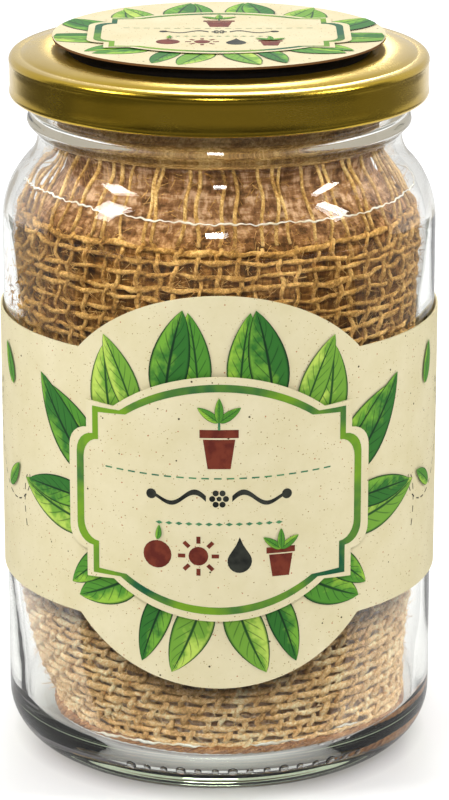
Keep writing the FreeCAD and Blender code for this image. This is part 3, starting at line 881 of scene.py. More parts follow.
def card_pad(finish):
    """The foam disc under the card, its edge bulged a little."""
    radius, low, high = pad_top.x, pad_low.z, pad_top.z
    profile = [(1.0, low), (radius - 0.3, low), (radius, low + 0.4), (radius + 0.12, (low + high) / 2)]
    profile += [(radius, high - 0.3), (radius - 0.3, high), (1.0, high)]
    pad = turned("foam_pad", profile, 128)
    finished(pad, "foam_pad", "lid", finish, ["lid_card_pad"])


# Sleeve, label and print

def on_sleeve(radius):
    """Lay a flat place (across, height) round the jar at this radius."""
    def lay(across, height, lift=0.0):
        turn = across / radius
        return Vector(((radius + lift) * math.sin(turn), -(radius + lift) * math.cos(turn), height)) * MM
    return lay


def on_band(across, height):
    """The sleeve's own place: it laps over its start at the back."""
    end = math.pi * sleeve_radius + lap_width / 2
    lift = lap_lift * smooth((across - (end - lap_width - lap_step)) / lap_step)
    turn = across / sleeve_radius
    radius = sleeve_radius + lift
    return Vector((radius * math.sin(turn), -radius * math.cos(turn), height)) * MM


def on_card(across, height, lift=print_lift):
    """The card on the lid holds the panel's design at a smaller scale, cut off at its edge."""
    across, height = trimmed(across, height - band_middle, print_edge)
    share = card_top.x / panel_radius
    return Vector((across * share, height * share, card_top.z + lift)) * MM


def trimmed(across, height, radius):
    """Draw a place that lies outside the round cut back to its edge."""
    reach = math.hypot(across, height)
    share = min(1.0, radius / reach) if reach else 1.0
    return across * share, height * share


def kept(grid, middle, radius):
    """The rows of a leaf that reach inside the round cut."""
    return [line for line in grid if min(math.hypot(x, y - middle) for x, y, _, _ in line) < radius]


def on_panel(across, height, lift=print_lift):
    """The print on the sleeve runs out to the panel's edge above and below the strip."""
    if abs(height - band_middle) > band_half_height - 0.6:
        across, height = trimmed(across, height - band_middle, print_edge)
        height += band_middle
    return on_sleeve(band_outer + lift)(across, height)


def cut_flat(name, outlines, lay):
    """One mesh of flat shapes, cut into upright strips so that they bend, and laid in place."""
    begin()
    points = [Vector((a, 0, b)) for outline in outlines for a, b in outline]
    piece = from_faces(name, points, outline_faces(outlines))
    piece.select_set(True)
    bpy.context.view_layer.objects.active = piece
    reach = max(abs(vertex.co.x) for vertex in piece.data.vertices)
    bpy.ops.object.mode_set(mode="EDIT")
    cuts = int(reach / strip_width)
    for index in range(-cuts, cuts + 1):
        bpy.ops.mesh.select_all(action="SELECT")
        bpy.ops.mesh.bisect(plane_co=(index * strip_width, 0, 0), plane_no=(1, 0, 0))
    bpy.ops.object.mode_set(mode="OBJECT")
    for vertex in piece.data.vertices:
        vertex.co = lay(vertex.co.x, vertex.co.z)
    for polygon in piece.data.polygons:
        polygon.use_smooth = True
    return piece


def outline_faces(outlines):
    """A face for each outline, turned to face forwards."""
    faces, start = [], 0
    for outline in outlines:
        ring = list(range(start, start + len(outline)))
        area = sum(p[0] * q[1] - q[0] * p[1] for p, q in zip(outline, outline[1:] + outline[:1]))
        faces.append(ring if area > 0 else ring[::-1])
        start += len(outline)
    return faces


def plaque(inset):
    """Corners of the plaque, drawn in by inset, about its own middle."""
    head = (0.0, 25.4 - inset)
    arch_foot = (21.6 - 0.87 * inset, 18.0 - 0.45 * inset)
    tab = (27.8 - 0.87 * inset, 18.5 - 0.73 * inset)
    tab_foot = (27.8 - 0.87 * inset, 12.7 - 0.68 * inset)
    side = (32.1 - 1.12 * inset, 8.4 - 0.6 * inset)
    return head, arch_foot, tab, tab_foot, side


def plaque_outline(inset, middle):
    """The plaque's outline: arches above and below, square tabs and quarter rounds to the sides."""
    head, arch_foot, tab, tab_foot, side = plaque(inset)
    rise = head[1] - arch_foot[1]
    arch_radius = (arch_foot[0] ** 2 + rise ** 2) / (2 * rise)
    half_turn = math.degrees(math.asin(arch_foot[0] / arch_radius))
    arch = rounded((0, head[1] - arch_radius), arch_radius, 90, half_turn * -1, 12)
    corner = (tab_foot[0], side[1])
    squash = (tab_foot[1] - corner[1]) / (side[0] - corner[0])
    quarter = rounded(corner, side[0] - corner[0], 90, -90, 6)
    quarter = [(a, corner[1] + (b - corner[1]) * squash) for a, b in quarter]
    quadrant = arch + [tab] + quarter
    right = quadrant + [(a, -b) for a, b in quadrant[::-1]]
    points = right + [(-a, b) for a, b in right[::-1][1:-1]]
    return [(a, b + middle) for a, b in points]


def band_outline():
    """The strip and its round front panel as one flat outline."""
    end = math.pi * sleeve_radius + lap_width / 2
    start = math.degrees(math.asin(band_half_height / panel_radius))
    upper = rounded((0, 0), panel_radius, 180 - start, 2 * start - 180, 60)
    points = [(-end, band_half_height)] + upper + [(end, band_half_height)]
    points += [(a, -b) for a, b in points[::-1]]
    return [(a, b + band_middle) for a, b in points]


def paper_sheet(name, outline, lay):
    """A die-cut sheet with the paper's thickness outwards."""
    sheet = cut_flat(name, [outline], lay)
    sheet = modified(sheet, "SOLIDIFY", thickness=paper * MM, offset=1.0)
    return shaded_smooth(sheet, 40)


def leaf(base, direction, length, width, bend):
    """Rows of points of one lance-shaped leaf, with its map."""
    rows, columns = 16, 8
    grid = []
    for row in range(rows + 1):
        along = row / rows
        half = width / 2 * 2.12 * along ** 0.62 * (1 - along) ** 0.86 + 0.05
        sway = bend * length * along * along
        line = []
        for column in range(columns + 1):
            across = (column / columns - 0.5) * 2
            a = along * length
            b = sway + across * half
            x = base[0] + a * math.cos(direction) - b * math.sin(direction)
            y = base[1] + a * math.sin(direction) + b * math.cos(direction)
            line.append((x, y, along, column / columns))
        grid.append(line)
    return grid


def leaves_mesh(name, leaves, lay, first):
    """All the leaves of one ink as one mesh, each a hair above the last, with the other inks between."""
    points, faces, marks = [], [], []
    for index, grid in enumerate(leaves):
        start = len(points)
        width = len(grid[0]) if grid else 0
        for line in grid:
            lift = print_lift + leaf_lift * (leaf_ink_count * index + first)
            points += [lay(x, y, lift) for x, y, _, _ in line]
        for row in range(len(grid) - 1):
            for column in range(width - 1):
                corners = [(row, column), (row + 1, column), (row + 1, column + 1), (row, column + 1)]
                faces.append([start + r * width + c for r, c in corners])
                marks += [grid[r][c][2:] for r, c in corners]
    piece = from_faces(name, points, faces, marks)
    for polygon in piece.data.polygons:
        polygon.use_smooth = True
    return piece


def tip_reach(base, heading, length):
    """How far a leaf's tip lies from the panel's middle."""
    return math.hypot(base[0] + length * math.cos(heading),
                      base[1] - band_middle + length * math.sin(heading))


def loose_leaves():
    """Four leaves on the band, to either side of the panel."""
    leaves = []
    for across, rise, tilt, length, width in ((53.0, 15.0, -20, 9.0, 4.6), (56.0, -7.0, 50, 8.0, 4.0)):
        for side in (-1, 1):
            heading = math.radians(90 + side * tilt)
            leaves.append(leaf((side * across, band_middle + rise), heading, length, width, 0.1))
    return leaves


def wreath():
    """Two mirrored laurel branches that rise from the foot of the plaque to its head, in three inks."""
    by_ink = ([], [], [])
    count = 12
    for side in (-1, 1):
        for index in range(count):
            along = (index + 0.42) / count
            angle = math.radians(-90 + 180 * along)
            base = (wreath_half_width * math.cos(angle),
                    band_middle - 0.65 + wreath_half_height * math.sin(angle))
            outward = math.atan2(math.sin(angle) / wreath_half_height, math.cos(angle) / wreath_half_width)
            long_leaf = index % 2 == 0
            lean = (math.radians(24) + math.radians(14 if long_leaf else -6)) * math.cos(angle) ** 0.6
            length = 21.5 if long_leaf else 17.5
            width = 10.2 if long_leaf else 7.6
            length += 2.0 * math.cos(angle)
            heading = outward + lean
            while abs(math.sin(angle)) > 0.5 and tip_reach(base, heading, length) > leaf_reach:
                length -= 0.4
            grid = leaf(base, heading, length, width, 0.12 if long_leaf else -0.1)
            if side < 0:
                grid = [[(-x, y, u, 1 - v) for x, y, u, v in line[::-1]] for line in grid]
            by_ink[(index * 2 + index // 3) % 3].append(grid)
    return by_ink


def disc(middle, radius, count=20):
    """A round."""
    return rounded(middle, radius, 0, 360 - 360 / count, count - 1)


def slab(middle, width, height, corner=0.0):
    """A block with rounded lower corners."""
    low, high = middle[1] - height / 2, middle[1] + height / 2
    left, right = middle[0] - width / 2, middle[0] + width / 2
    points = [(right, high), (left, high)]
    points += rounded((left + corner, low + corner), corner, 180, 90, 4)
    return points + rounded((right - corner, low + corner), corner, 270, 90, 4)


def pot(middle, size):
    """A flower pot: a tapered body under a plain rim."""
    x, y = middle
    body = [(-0.38, 0.22), (-0.27, -0.5), (0.27, -0.5), (0.38, 0.22)]
    rim = [(-0.46, 0.46), (-0.46, 0.26), (0.46, 0.26), (0.46, 0.46)]
    return tuple([(x + size * a, y + size * b) for a, b in shape] for shape in (body, rim))


def drop(middle, size):
    """A water drop."""
    x, y = middle
    bowl = rounded((x, y - size * 0.15), size * 0.34, 150, 240, 14)
    return bowl + [(x + size * 0.1, y + size * 0.32), (x, y + size * 0.55), (x - size * 0.1, y + size * 0.32)]


def sun(middle, size):
    """A disc with eight short rays."""
    shapes = [disc(middle, size * 0.24)]
    for index in range(8):
        turn = FULL * index / 8
        shape = []
        for reach, width in ((0.32, -0.05), (0.5, -0.05), (0.5, 0.05), (0.32, 0.05)):
            a = reach * size * math.cos(turn) - width * size * math.sin(turn)
            b = reach * size * math.sin(turn) + width * size * math.cos(turn)
            shape.append((middle[0] + a, middle[1] + b))
        shapes.append(shape)
    return shapes


def dashes(path, length, gap, width):
    """Short strokes along a path of points."""
    shapes, travelled = [], 0.0
    for (ax, ay), (bx, by) in zip(path, path[1:]):
        run = math.hypot(bx - ax, by - ay)
        if travelled % (length + gap) < length:
            nx, ny = -(by - ay) / run * width / 2, (bx - ax) / run * width / 2
            shapes.append([(ax + nx, ay + ny), (ax - nx, ay - ny), (bx - nx, by - ny), (bx + nx, by + ny)])
        travelled += run
    return shapes


def plaque_print():
    """Shapes on the plaque by ink: a border, dashes, a potted seedling, a scroll and a row of signs."""
    z = label_middle
    outer, inner = plaque_outline(1.45, z), plaque_outline(3.0, z)
    border = []
    for index in range(len(outer)):
        after = (index + 1) % len(outer)
        border.append([outer[index], inner[index], inner[after], outer[after]])
    line = [(-23.5 + 47 * i / 94, z + 5.4 - 0.8 * math.sin(math.pi * i / 94)) for i in range(95)]
    body, rim = pot((0.0, z + 10.8), 8.4)
    brown = [body, rim]
    green = dashes(line, 1.5, 1.0, 0.3)
    green.append([(-0.25, z + 14.6), (0.25, z + 14.6), (0.2, z + 17.4), (-0.2, z + 17.4)])
    green += [rhomb((-12.0 + 2.0 * index, z - 4.9), 1.5, 0.75) for index in range(13)]
    dark = []
    for side in (-1, 1):
        path = []
        for index in range(61):
            along = index / 60
            wave = 1.5 * math.sin(along * 7.0) * (1 - 0.45 * along)
            path.append((side * (2.6 + 10.6 * along), z + 0.4 + wave))
        for (ax, ay), (bx, by) in zip(path, path[1:]):
            half = 0.68 * (1 - 0.5 * abs(ax) / 14)
            dark.append([(ax, ay - half), (bx, by - half), (bx, by + half), (ax, ay + half)])
        dark.append(disc((side * 13.6, path[-1][1]), 1.05, 14))
    for index in range(6):
        turn = FULL * index / 6
        dark.append(disc((1.35 * math.cos(turn), z + 0.4 + 1.35 * math.sin(turn)), 0.62, 12))
    dark.append(disc((0.0, z + 0.4), 0.5, 12))
    row = z - 11.6
    places = [-12.4, -4.1, 4.1, 12.4]
    brown.append(disc((places[0], row), 2.9))
    pale = [slab((places[0], row + 3.6), 0.5, 1.2)]
    brown += sun((places[1], row), 8.2)
    dark.append(drop((places[2], row), 7.2))
    small, small_rim = pot((places[3], row - 1.4), 6.4)
    brown += [small, small_rim]
    return {"border": border, "brown": brown, "green": green, "dark": dark, "pale": pale}


def rhomb(middle, width, height):
    """A small lozenge, point up."""
    x, y = middle
    return [(x - width / 2, y), (x, y - height / 2), (x + width / 2, y), (x, y + height / 2)]


def sprigs():
    """Leaves of the potted seedling and the small pot."""
    z = label_middle
    grids = []
    for base, size in (((0.0, z + 16.2), 5.2), ((12.4, z - 10.4), 4.4)):
        for turn in (35, 145):
            grids.append(leaf(base, math.radians(turn), size, size * 0.45, 0.0))
        grids.append(leaf(base, math.radians(90), size * 0.95, size * 0.42, 0.0))
    grids.append(leaf((-12.4, z - 8.4), math.radians(70), 3.0, 1.5, 0.2))
    return grids


def flight_lines():
    """Dashed looping lines over the band, to either side of the panel."""
    flights = []
    for side in (-1, 1):
        path = []
        for index in range(140):
            along = index / 139
            turn = along * FULL * 1.6
            across = 43.0 + 26 * along + 4.5 * math.cos(turn)
            path.append((side * across, band_middle - 14 + 26 * along + 7 * math.sin(turn)))
        flights += dashes(path, 1.4, 1.1, 0.26)
    return flights


def on_paper(piece, ink):
    """Ink on the sleeve or its plaque."""
    finished(piece, piece.name, "sleeve", ink)


def on_board(piece, ink):
    """Ink on the lid's card."""
    finished(piece, piece.name, "lid", ink)


def printed(ink_set):
    """The same design on the sleeve's panel and plaque, and smaller on the lid's card."""
    front = on_sleeve(label_radius + paper + print_lift)
    branches = wreath()
    branches[1].extend(loose_leaves())
    for first, (ink, grids) in enumerate(zip(("leaf_pale", "leaf_mid", "leaf_deep"), branches)):
        on_paper(leaves_mesh("panel_" + ink, grids, on_panel, first), ink_set[ink])
        inside = [kept(grid, band_middle, print_edge) for grid in grids]
        on_board(leaves_mesh("card_" + ink, inside, on_card, first), ink_set[ink])
    for ink, outlines in plaque_print().items():
        on_paper(cut_flat("plaque_" + ink, outlines, front), ink_set[ink])
        on_board(cut_flat("card_" + ink, outlines, above_card), ink_set[ink])
    on_board(cut_flat("card_plaque", [plaque_outline(0.0, label_middle)], ground_card), ink_set["ground"])
    on_paper(leaves_mesh("plaque_sprigs", sprigs(), front, sprig_order), ink_set["leaf_mid"])
    on_board(leaves_mesh("card_sprigs", sprigs(), above_card, sprig_order), ink_set["leaf_mid"])
    on_paper(cut_flat("band_flights", flight_lines(), on_panel), ink_set["dark"])


def ground_card(across, height):
    """The plaque's ground on the card, above the leaves."""
    return on_card(across, height, card_ground_lift)


def above_card(across, height, lift=print_lift):
    """What is printed on the plaque's ground."""
    return on_card(across, height, card_ground_lift + lift)


def label_tapes(finish):
    """Four squares of foam tape that hold the plaque off the panel."""
    pieces = []
    radius = band_outer + 0.05
    for side in (-1, 1):
        for end in (-1, 1):
            middle = (side * tape_across, label_middle + end * tape_up)
            tape = cut_flat("tape", [slab(middle, tape_size, tape_size, 0.8)], on_sleeve(radius))
            pieces.append(modified(tape, "SOLIDIFY", thickness=tape_thickness * MM, offset=1.0))
    tapes = shaded_smooth(joined("foam_tapes", pieces), 40)
    finished(tapes, "foam_tapes", "sleeve", finish, ["front_label_pads"])


# Jute sack

def sack_radius(height):
    """Radius of the bag's outer line at this height."""
    return bore - along_line(bag_line, height)


def crumple(turn, height):
    """How far the cloth stands in or out of the smooth bag: more towards the gathered neck."""
    share = smooth((height - 55) / 50) * smooth((threads_top.z + 1 - height) / 8)
    wave = math.sin(turn * 3 + height / 19) + 0.7 * math.sin(turn * 7 - height / 9 + 2)
    return (0.08 + 0.2 * share) * wave


def cloth_place(turn, height, lift=0.0):
    """A place on the middle of the cloth, moved outwards by lift, and the way outwards."""
    away = Vector((math.sin(turn), -math.cos(turn), 0))
    radius = sack_radius(height) - cloth_inset + crumple(turn, height) + lift
    return away * radius + Vector((along_line(bag_lean, height), 0, height)), away


def weft_heights():
    """Heights of the crosswise yarns from the bottom seam to where the drawn threads start."""
    heights = []
    height = seam_top.z - 0.7
    while height < sack_top.z - 0.5:
        heights.append(height)
        pitch = weft_pitch_low + (weft_pitch_high - weft_pitch_low) * smooth((height - 60) / 40)
        height += pitch * dice.uniform(0.86, 1.14)
    return heights


def wander(seed, turn, height):
    """Uneven beating: how far a crosswise yarn strays up or down."""
    share = 0.3 + 0.8 * smooth((height - 70) / 45)
    phase = seed * 1.7
    wave = 0.42 * math.sin(turn * 2 + phase) + 0.26 * math.sin(turn * 5 - phase * 2)
    return share * (wave + 0.2 * math.sin(turn * 11 + phase * 3) + 0.16 * math.sin(turn * 27 - phase * 5))


def warp_stray(seed, height):
    """How far a lengthwise yarn strays sideways, in radians."""
    phase = seed * 2.3
    share = 0.35 + 0.65 * smooth((height - 60) / 50)
    return share * (0.014 * math.sin(height / 8 + phase) + 0.011 * math.sin(height / 3.1 - phase))


def weft(heights, finish):
    """Crosswise yarns, over one and under one: flat and full at the foot, thin and open above."""
    routes = []
    steps = warp_count * 3
    for row, level in enumerate(heights):
        thick = dice.uniform(0.82, 1.18)
        open_share = smooth((level - 50) / 50)
        half_width, half_thickness = 0.6 - 0.1 * open_share, 0.42 - 0.05 * open_share
        route = []
        for step in range(steps):
            turn = FULL * step / steps
            height = level + wander(row, turn, level)
            sign = math.cos(math.pi * (step / 3 + row))
            height += dice.uniform(-0.12, 0.12)
            place, away = cloth_place(turn, height, 0.34 * sign + dice.uniform(-0.06, 0.06))
            swell = thick * (1 + 0.16 * math.sin(turn * 13 + row) + dice.uniform(-0.2, 0.2))
            route.append((place, away, half_width * swell * (1 + 0.16 * sign), half_thickness * swell))
        routes.append(route)
    finished(swept("sack_weft", routes, 8, True), "sack_weft", "jar", finish)


def warp(heights, finish):
    """Lengthwise yarns, which lean a little where they cross over."""
    routes = []
    levels = [heights[0] - 1.6] + heights + [heights[-1] + 1.2]
    for column in range(warp_count):
        thick = dice.uniform(0.82, 1.18)
        route = []
        for row in range(len(levels) - 1):
            for part in (0.0, 0.25, 0.5, 0.75):
                level = levels[row] + (levels[row + 1] - levels[row]) * part
                cross = math.pi * (row - 1 + part + column)
                lean = -0.019 * math.sin(cross) * (1 - 0.5 * smooth((level - 60) / 40))
                turn = FULL * column / warp_count + warp_stray(column, level) + lean
                height = level + wander(row - 1, turn, level)
                place, away = cloth_place(turn, height, -0.38 * math.cos(cross))
                swell = thick * dice.uniform(0.85, 1.15) * (1.35 - 0.35 * smooth((level - 50) / 50))
                route.append((place, away, 0.46 * swell, 0.38 * swell))
        routes.append(route)
    finished(swept("sack_warp", routes, 6, False), "sack_warp", "jar", finish, ["sack_cloth"])


def ground(finish):
    """The fibre layer behind the crowns of the yarns, whose dark brown body tone is painted shade of the
    sack's inside. It draws in behind the bare threads.
    """
    top = sack_top.z
    line = [(sack_low.z + 1.5 + 2.5 * step, 1.25) for step in range(42)]
    line = [(level, inset) for level, inset in line if level < top - 4.0]
    line += [(top - 2.5, 1.3), (top - 1.0, 1.9), (top + 0.5, 3.2), (top + 2.5, 4.6), (top + 5.0, 5.0)]
    line += [(top + 8.0, 4.2), (top + 11.0, 2.4), (top + 13.5, 1.2), (top + 17.0, 1.2)]
    profile = [(sack_radius(level) - cloth_inset - inset, level) for level, inset in line]
    shell = turned("ground", profile, 128, closed=True)
    for vertex in shell.data.vertices:
        vertex.co.x += along_line(bag_lean, vertex.co.z / MM) * MM
    shell = modified(shell, "SOLIDIFY", thickness=0.25 * MM, offset=-1.0)
    finished(shell, "sack_ground_painted_shade", "jar", finish)


def drawn_threads(finish):
    """The lengthwise yarns go on bare up to the hem."""
    routes = []
    for column in range(warp_count):
        base = FULL * column / warp_count + warp_stray(column, sack_top.z) + dice.uniform(-0.012, 0.012)
        slip = dice.uniform(-0.03, 0.03)
        thick = dice.uniform(0.75, 1.15)
        route = []
        for step in range(15):
            along = step / 14
            height = sack_top.z - 1.5 + (hem_low.z + 1.2 - sack_top.z + 1.5) * along
            turn = base + slip * math.sin(along * 2.6) + 0.008 * math.sin(along * 11 + column)
            place, away = cloth_place(turn, height, 0.15 * math.sin(along * 5 + column))
            route.append((place, away, 0.4 * thick, 0.36 * thick))
        routes.append(route)
    threads = swept("sack_threads", routes, 8, False)
    finished(threads, "sack_threads", "jar", finish, ["sack_drawn_threads"])


def top_hem(finish):
    """The gathered edge: crosswise yarns packed close, standing up in the neck."""
    routes = []
    rows = 6
    for row in range(rows):
        route = []
        for step in range(160):
            turn = FULL * step / 160
            height = hem_low.z + 0.6 + (hem_rise - 1.2) * row / (rows - 1)
            height += 0.18 * math.sin(turn * 7 + row * 2) + 0.12 * math.sin(turn * 17 - row)
            lift = 0.16 * math.sin(turn * 32 + row * math.pi)
            place, away = cloth_place(turn, height, lift)
            route.append((place, away, 0.82, 0.5))
        routes.append(route)
    finished(swept("sack_hem", routes, 8, True), "sack_hem", "jar", finish, ["sack_top_hem"])


def bottom_seam(finish):
    """Overlock stitches: three strands laid round the foot like a rope."""
    routes = []
    middle = (seam_low.z + seam_top.z) / 2 - 1.6
    radius = sack_radius(middle) + 0.2
    steps = rope_twists * 12
    for strand in range(3):
        route = []
        for step in range(steps):
            turn = FULL * step / steps
            away = Vector((math.sin(turn), -math.cos(turn), 0))
            lay_angle = turn * rope_twists + FULL * strand / 3
            offset = away * (0.5 * math.cos(lay_angle)) + Vector((0, 0, 1.1 * math.sin(lay_angle)))
            lean = Vector((along_line(bag_lean, middle), 0, middle + 0.3 * math.sin(turn * 3 + 1)))
            outwards = (away * math.cos(lay_angle) + Vector((0, 0, math.sin(lay_angle)))).normalized()
            route.append((away * radius + lean + offset, outwards, 0.78, 0.6))
        routes.append(route)
    rope = swept("sack_bottom_rope", routes, 8, True)
    finished(rope, "sack_bottom_rope", "jar", finish, ["sack_bottom_seam"])


def side_seam(heights, finish):
    """The upright seam at the back: a fold of cloth held by slanting stitches."""
    routes = []
    for edge in (-2.4, -0.8, 0.8, 2.4):
        route = []
        for step in range(90):
            height = side_seam_low.z + 1 + (side_seam_top.z - side_seam_low.z - 2) * step / 89
            turn = math.pi + edge / sack_radius(height)
            lift = 0.55 + 0.12 * math.sin(step * 1.3 + edge)
            place, away = cloth_place(turn, height, lift)
            route.append((place, away, 0.8, 0.3))
        routes.append(route)
    for level in heights[2:-2]:
        route = []
        for step in range(7):
            edge = -3.0 + step
            turn = math.pi + edge / sack_radius(level)
            place, away = cloth_place(turn, level + 0.22 * edge, 0.85 - 0.03 * edge * edge)
            route.append((place, away, 0.28, 0.22))
        routes.append(route)
    seam = swept("sack_seam", routes, 6, False)
    finished(seam, "sack_seam", "jar", finish, ["sack_side_seam"])


def fuzz(finish):
    """Loose fibre ends that stand off the cloth."""
    points, faces, marks = [], [], []
    for index in range(fibre_count):
        turn = dice.uniform(0, FULL)
        height = dice.uniform(seam_top.z, hem_low.z)
        if height > sack_top.z and dice.random() < 0.5:
            continue
        place, away = cloth_place(turn, height, dice.uniform(0.35, 0.85))
        side = away.cross(Vector((0, 0, 1)))
        along = side * dice.uniform(-1, 1) + Vector((0, 0, dice.uniform(-1, 1)))
        along = (along + away * dice.uniform(0.05, 0.3)).normalized()
        length = dice.uniform(1.0, 3.4)
        curl = (side * dice.uniform(-1, 1) + Vector((0, 0, dice.uniform(-1, 1)))) * 0.25
        width = along.cross(away).normalized() * dice.uniform(0.05, 0.11)
        start = len(points)
        for step in range(4):
            share = step / 3
            middle = place + along * (length * share) + curl * (share * share * length)
            taper = width * (1 - 0.7 * share)
            points += [(middle - taper) * MM, (middle + taper) * MM]
        for step in range(3):
            a = start + step * 2
            faces.append((a, a + 1, a + 3, a + 2))
            marks += [(step / 3, 0), (step / 3, 1), ((step + 1) / 3, 1), ((step + 1) / 3, 0)]
    finished(from_faces("sack_fuzz", points, faces, marks), "sack_fuzz", "jar", finish)


def sack_floor(finish):
    """The round of cloth that closes the bag below, with its edge turned up to the seam."""
    low = sack_low.z
    foot = sack_radius(low + 3.0) - 0.4
    profile = [(1.0, low + 1.1), (foot - 4.0, low + 1.1), (foot - 2.4, low + 1.5)]
    profile += [(foot - 1.4, low + 2.4), (foot - 1.0, low + 3.4), (foot - 0.2, low + 3.4)]
    profile += [(foot - 0.6, low + 1.8), (foot - 2.0, low + 0.6), (foot - 3.8, low + 0.2), (1.0, low + 0.2)]
    floor = turned("sack_floor", profile, 96)
    for vertex in floor.data.vertices:
        vertex.co.x += along_line(bag_lean, low) * MM
    finished(floor, "sack_floor", "jar", finish)


# What is in the sack

def coir_discs(finish):
    """Three pressed discs, each with a dimple on top and a crumbly edge."""
    for index in range(3):
        node = "coir_disc_" + str(index + 1)
        low, high = box_mm(node)
        radius = high.x
        profile = [(1.0, low.z + 0.5), (radius * 0.6, low.z + 0.1), (radius - 1.4, low.z + 0.1)]
        profile += [(radius - 0.3, low.z + 1.2), (radius, low.z + 3.5), (radius - 0.1, high.z - 3.5)]
        profile += [(radius - 0.4, high.z - 1.2), (radius - 1.6, high.z - 0.1), (radius * 0.6, high.z - 0.1)]
        profile += [(8.0, high.z - 0.3), (5.0, high.z - 2.2), (1.0, high.z - 2.6)]
        piece = turned("coir_" + str(index + 1), profile, 96)
        for vertex in piece.data.vertices:
            place = vertex.co / MM
            turn = math.atan2(place.y, place.x)
            radius_here = math.hypot(place.x, place.y)
            crumb = math.sin(turn * 23 + place.z * 2.1 + index) * math.cos(turn * 41 - place.z)
            rough = 1 - 0.006 * (1 + crumb)
            if radius_here > 20:
                vertex.co.x *= rough
                vertex.co.y *= rough
        finished(piece, "coir_" + str(index + 1), "jar", finish, [node])


def seed_sachet(finish):
    """A sealed paper pocket: a flat crimped edge round a swollen middle."""
    begin()
    size = sachet_top - sachet_low
    bpy.ops.mesh.primitive_grid_add(x_subdivisions=40, y_subdivisions=32, size=1.0,
                                    location=(0, 0, sachet_low.z * MM))
    piece = bpy.context.object
    piece.scale = (size.x * MM, size.y * MM, 1)
    bpy.ops.object.transform_apply(location=True, rotation=True, scale=True)
    for vertex in piece.data.vertices:
        x, y = vertex.co.x / MM / (size.x / 2), vertex.co.y / MM / (size.y / 2)
        edge = min(1 - abs(x), (1 - abs(y)) * size.y / size.x) * size.x / 2
        swell = smooth((edge - 4.0) / 7.0) * (size.z - 0.6)
        wrinkle = 0.1 * math.sin(x * 31 + y * 17) * smooth((edge - 3) / 3)
        crimp = 0.08 * math.sin(vertex.co.x / MM * 4.2) * (1 if edge < 3.8 else 0)
        vertex.co.z += (0.35 + swell + wrinkle + crimp) * MM
    piece = modified(piece, "SOLIDIFY", thickness=0.15 * MM, offset=-1.0)
    corners = [Vector((x * size.x / 2, y * size.y / 2, sachet_low.z + 0.1)) * MM
               for x, y in ((-1, -1), (1, -1), (1, 1), (-1, 1))]
    back = from_faces("sachet_back", corners, [(3, 2, 1, 0)])
    piece = shaded_smooth(joined("seed_pocket", [piece, back]))
    finished(piece, "seed_pocket", "jar", finish, ["seed_sachet"])


def seeds(finish):
    """Small long seeds on the sachet's lower paper, laid out as the solids are and turned every way."""
    pieces = []
    columns, rows, pitch, length = 6, 3, 4.2, 2.2
    height = seeds_low.z + 0.6
    for row in range(rows):
        for column in range(columns):
            begin()
            across = (column - (columns - 1) / 2) * pitch
            along = (row - (rows - 1) / 2) * pitch
            bpy.ops.mesh.primitive_uv_sphere_add(segments=8, ring_count=6, radius=0.5 * MM,
                                                 location=(across * MM, along * MM, height * MM))
            seed = bpy.context.object
            seed.scale = (length, 1.1, 1.0)
            seed.rotation_euler = (0, 0, math.radians(37.0 * len(pieces)))
            bpy.ops.object.transform_apply(location=True, rotation=True, scale=True)
            pieces.append(seed)
    group = shaded_smooth(joined("seed_grains", pieces), 60)
    finished(group, "seed_grains", "jar", finish, ["seeds"])


# Stage, lamps and camera

def plane(name, size, place):
    """A square that belongs to the stage and not to the jar."""
    begin()
    bpy.ops.mesh.primitive_plane_add(size=size, location=place)
    piece = bpy.context.object
    piece.name = name
    return piece


def seen_by_eye(tree):
    """One for rays of the camera, of metal and of glass, none for those that only carry light."""
    ray = add(tree, "LightPath")
    direct = add(tree, "Math", {"operation": "MAXIMUM"}, {
        0: ray.outputs["Is Camera Ray"], 1: ray.outputs["Is Transmission Ray"]})
    return add(tree, "Math", {"operation": "MAXIMUM"}, {
        0: direct.outputs[0], 1: ray.outputs["Is Glossy Ray"]})


def floor_finish():
    """A white table that keeps the jar's shadow. To the eye it glows, more with distance, up to white.

    Under the jar its colour is painted greyer, and close to the jar its glow is weaker: a painted contact
    shadow over the real one, which the heel shows.
    """
    made, tree = blank("white_table")
    shown = seen_by_eye(tree)
    place = add(tree, "TexCoord").outputs["Object"]
    away = add(tree, "VectorMath", {"operation": "LENGTH"}, {0: place}).outputs["Value"]
    # Painted contact shadow: the colour turns grey under the jar.
    painted_shadow_fade = add(tree, "MapRange", inputs={0: away, 1: 0.032, 2: 0.044, 3: 0.0, 4: 1.0})
    tone = add(tree, "Mix", {"data_type": "RGBA"}, {
        0: painted_shadow_fade.outputs[0], 6: linear("#807880"), 7: linear("#E6E6E6")})
    matt = add(tree, "BsdfDiffuse", inputs={"Color": tone.outputs[2]})
    # Painted contact shadow: the glow is weaker close to the jar.
    close = add(tree, "MapRange", inputs={0: away, 1: 0.034, 2: 0.07, 3: 0.03, 4: 0.32})
    distant = add(tree, "MapRange", inputs={0: away, 1: 0.2, 2: 0.75, 3: 0.0, 4: 0.24})
    total = add(tree, "Math", {"operation": "ADD"}, {0: close.outputs[0], 1: distant.outputs[0]})
    glow = add(tree, "Emission", inputs={"Color": (1, 1, 1, 1), "Strength": total.outputs[0]})
    none = add(tree, "Emission", inputs={"Color": (0, 0, 0, 1), "Strength": 0.0})
    lift = add(tree, "MixShader", inputs={0: shown.outputs[0], 1: none.outputs[0], 2: glow.outputs[0]})
    surface(tree, add(tree, "AddShader", inputs={0: matt.outputs[0], 1: lift.outputs[0]}))
    return made


def card_finish(name, colour):
    """A card that shows as its own colour in a reflection, whatever the light."""
    made, tree = blank(name)
    surface(tree, add(tree, "Emission", inputs={"Color": linear(colour), "Strength": 1.0}))
    return made


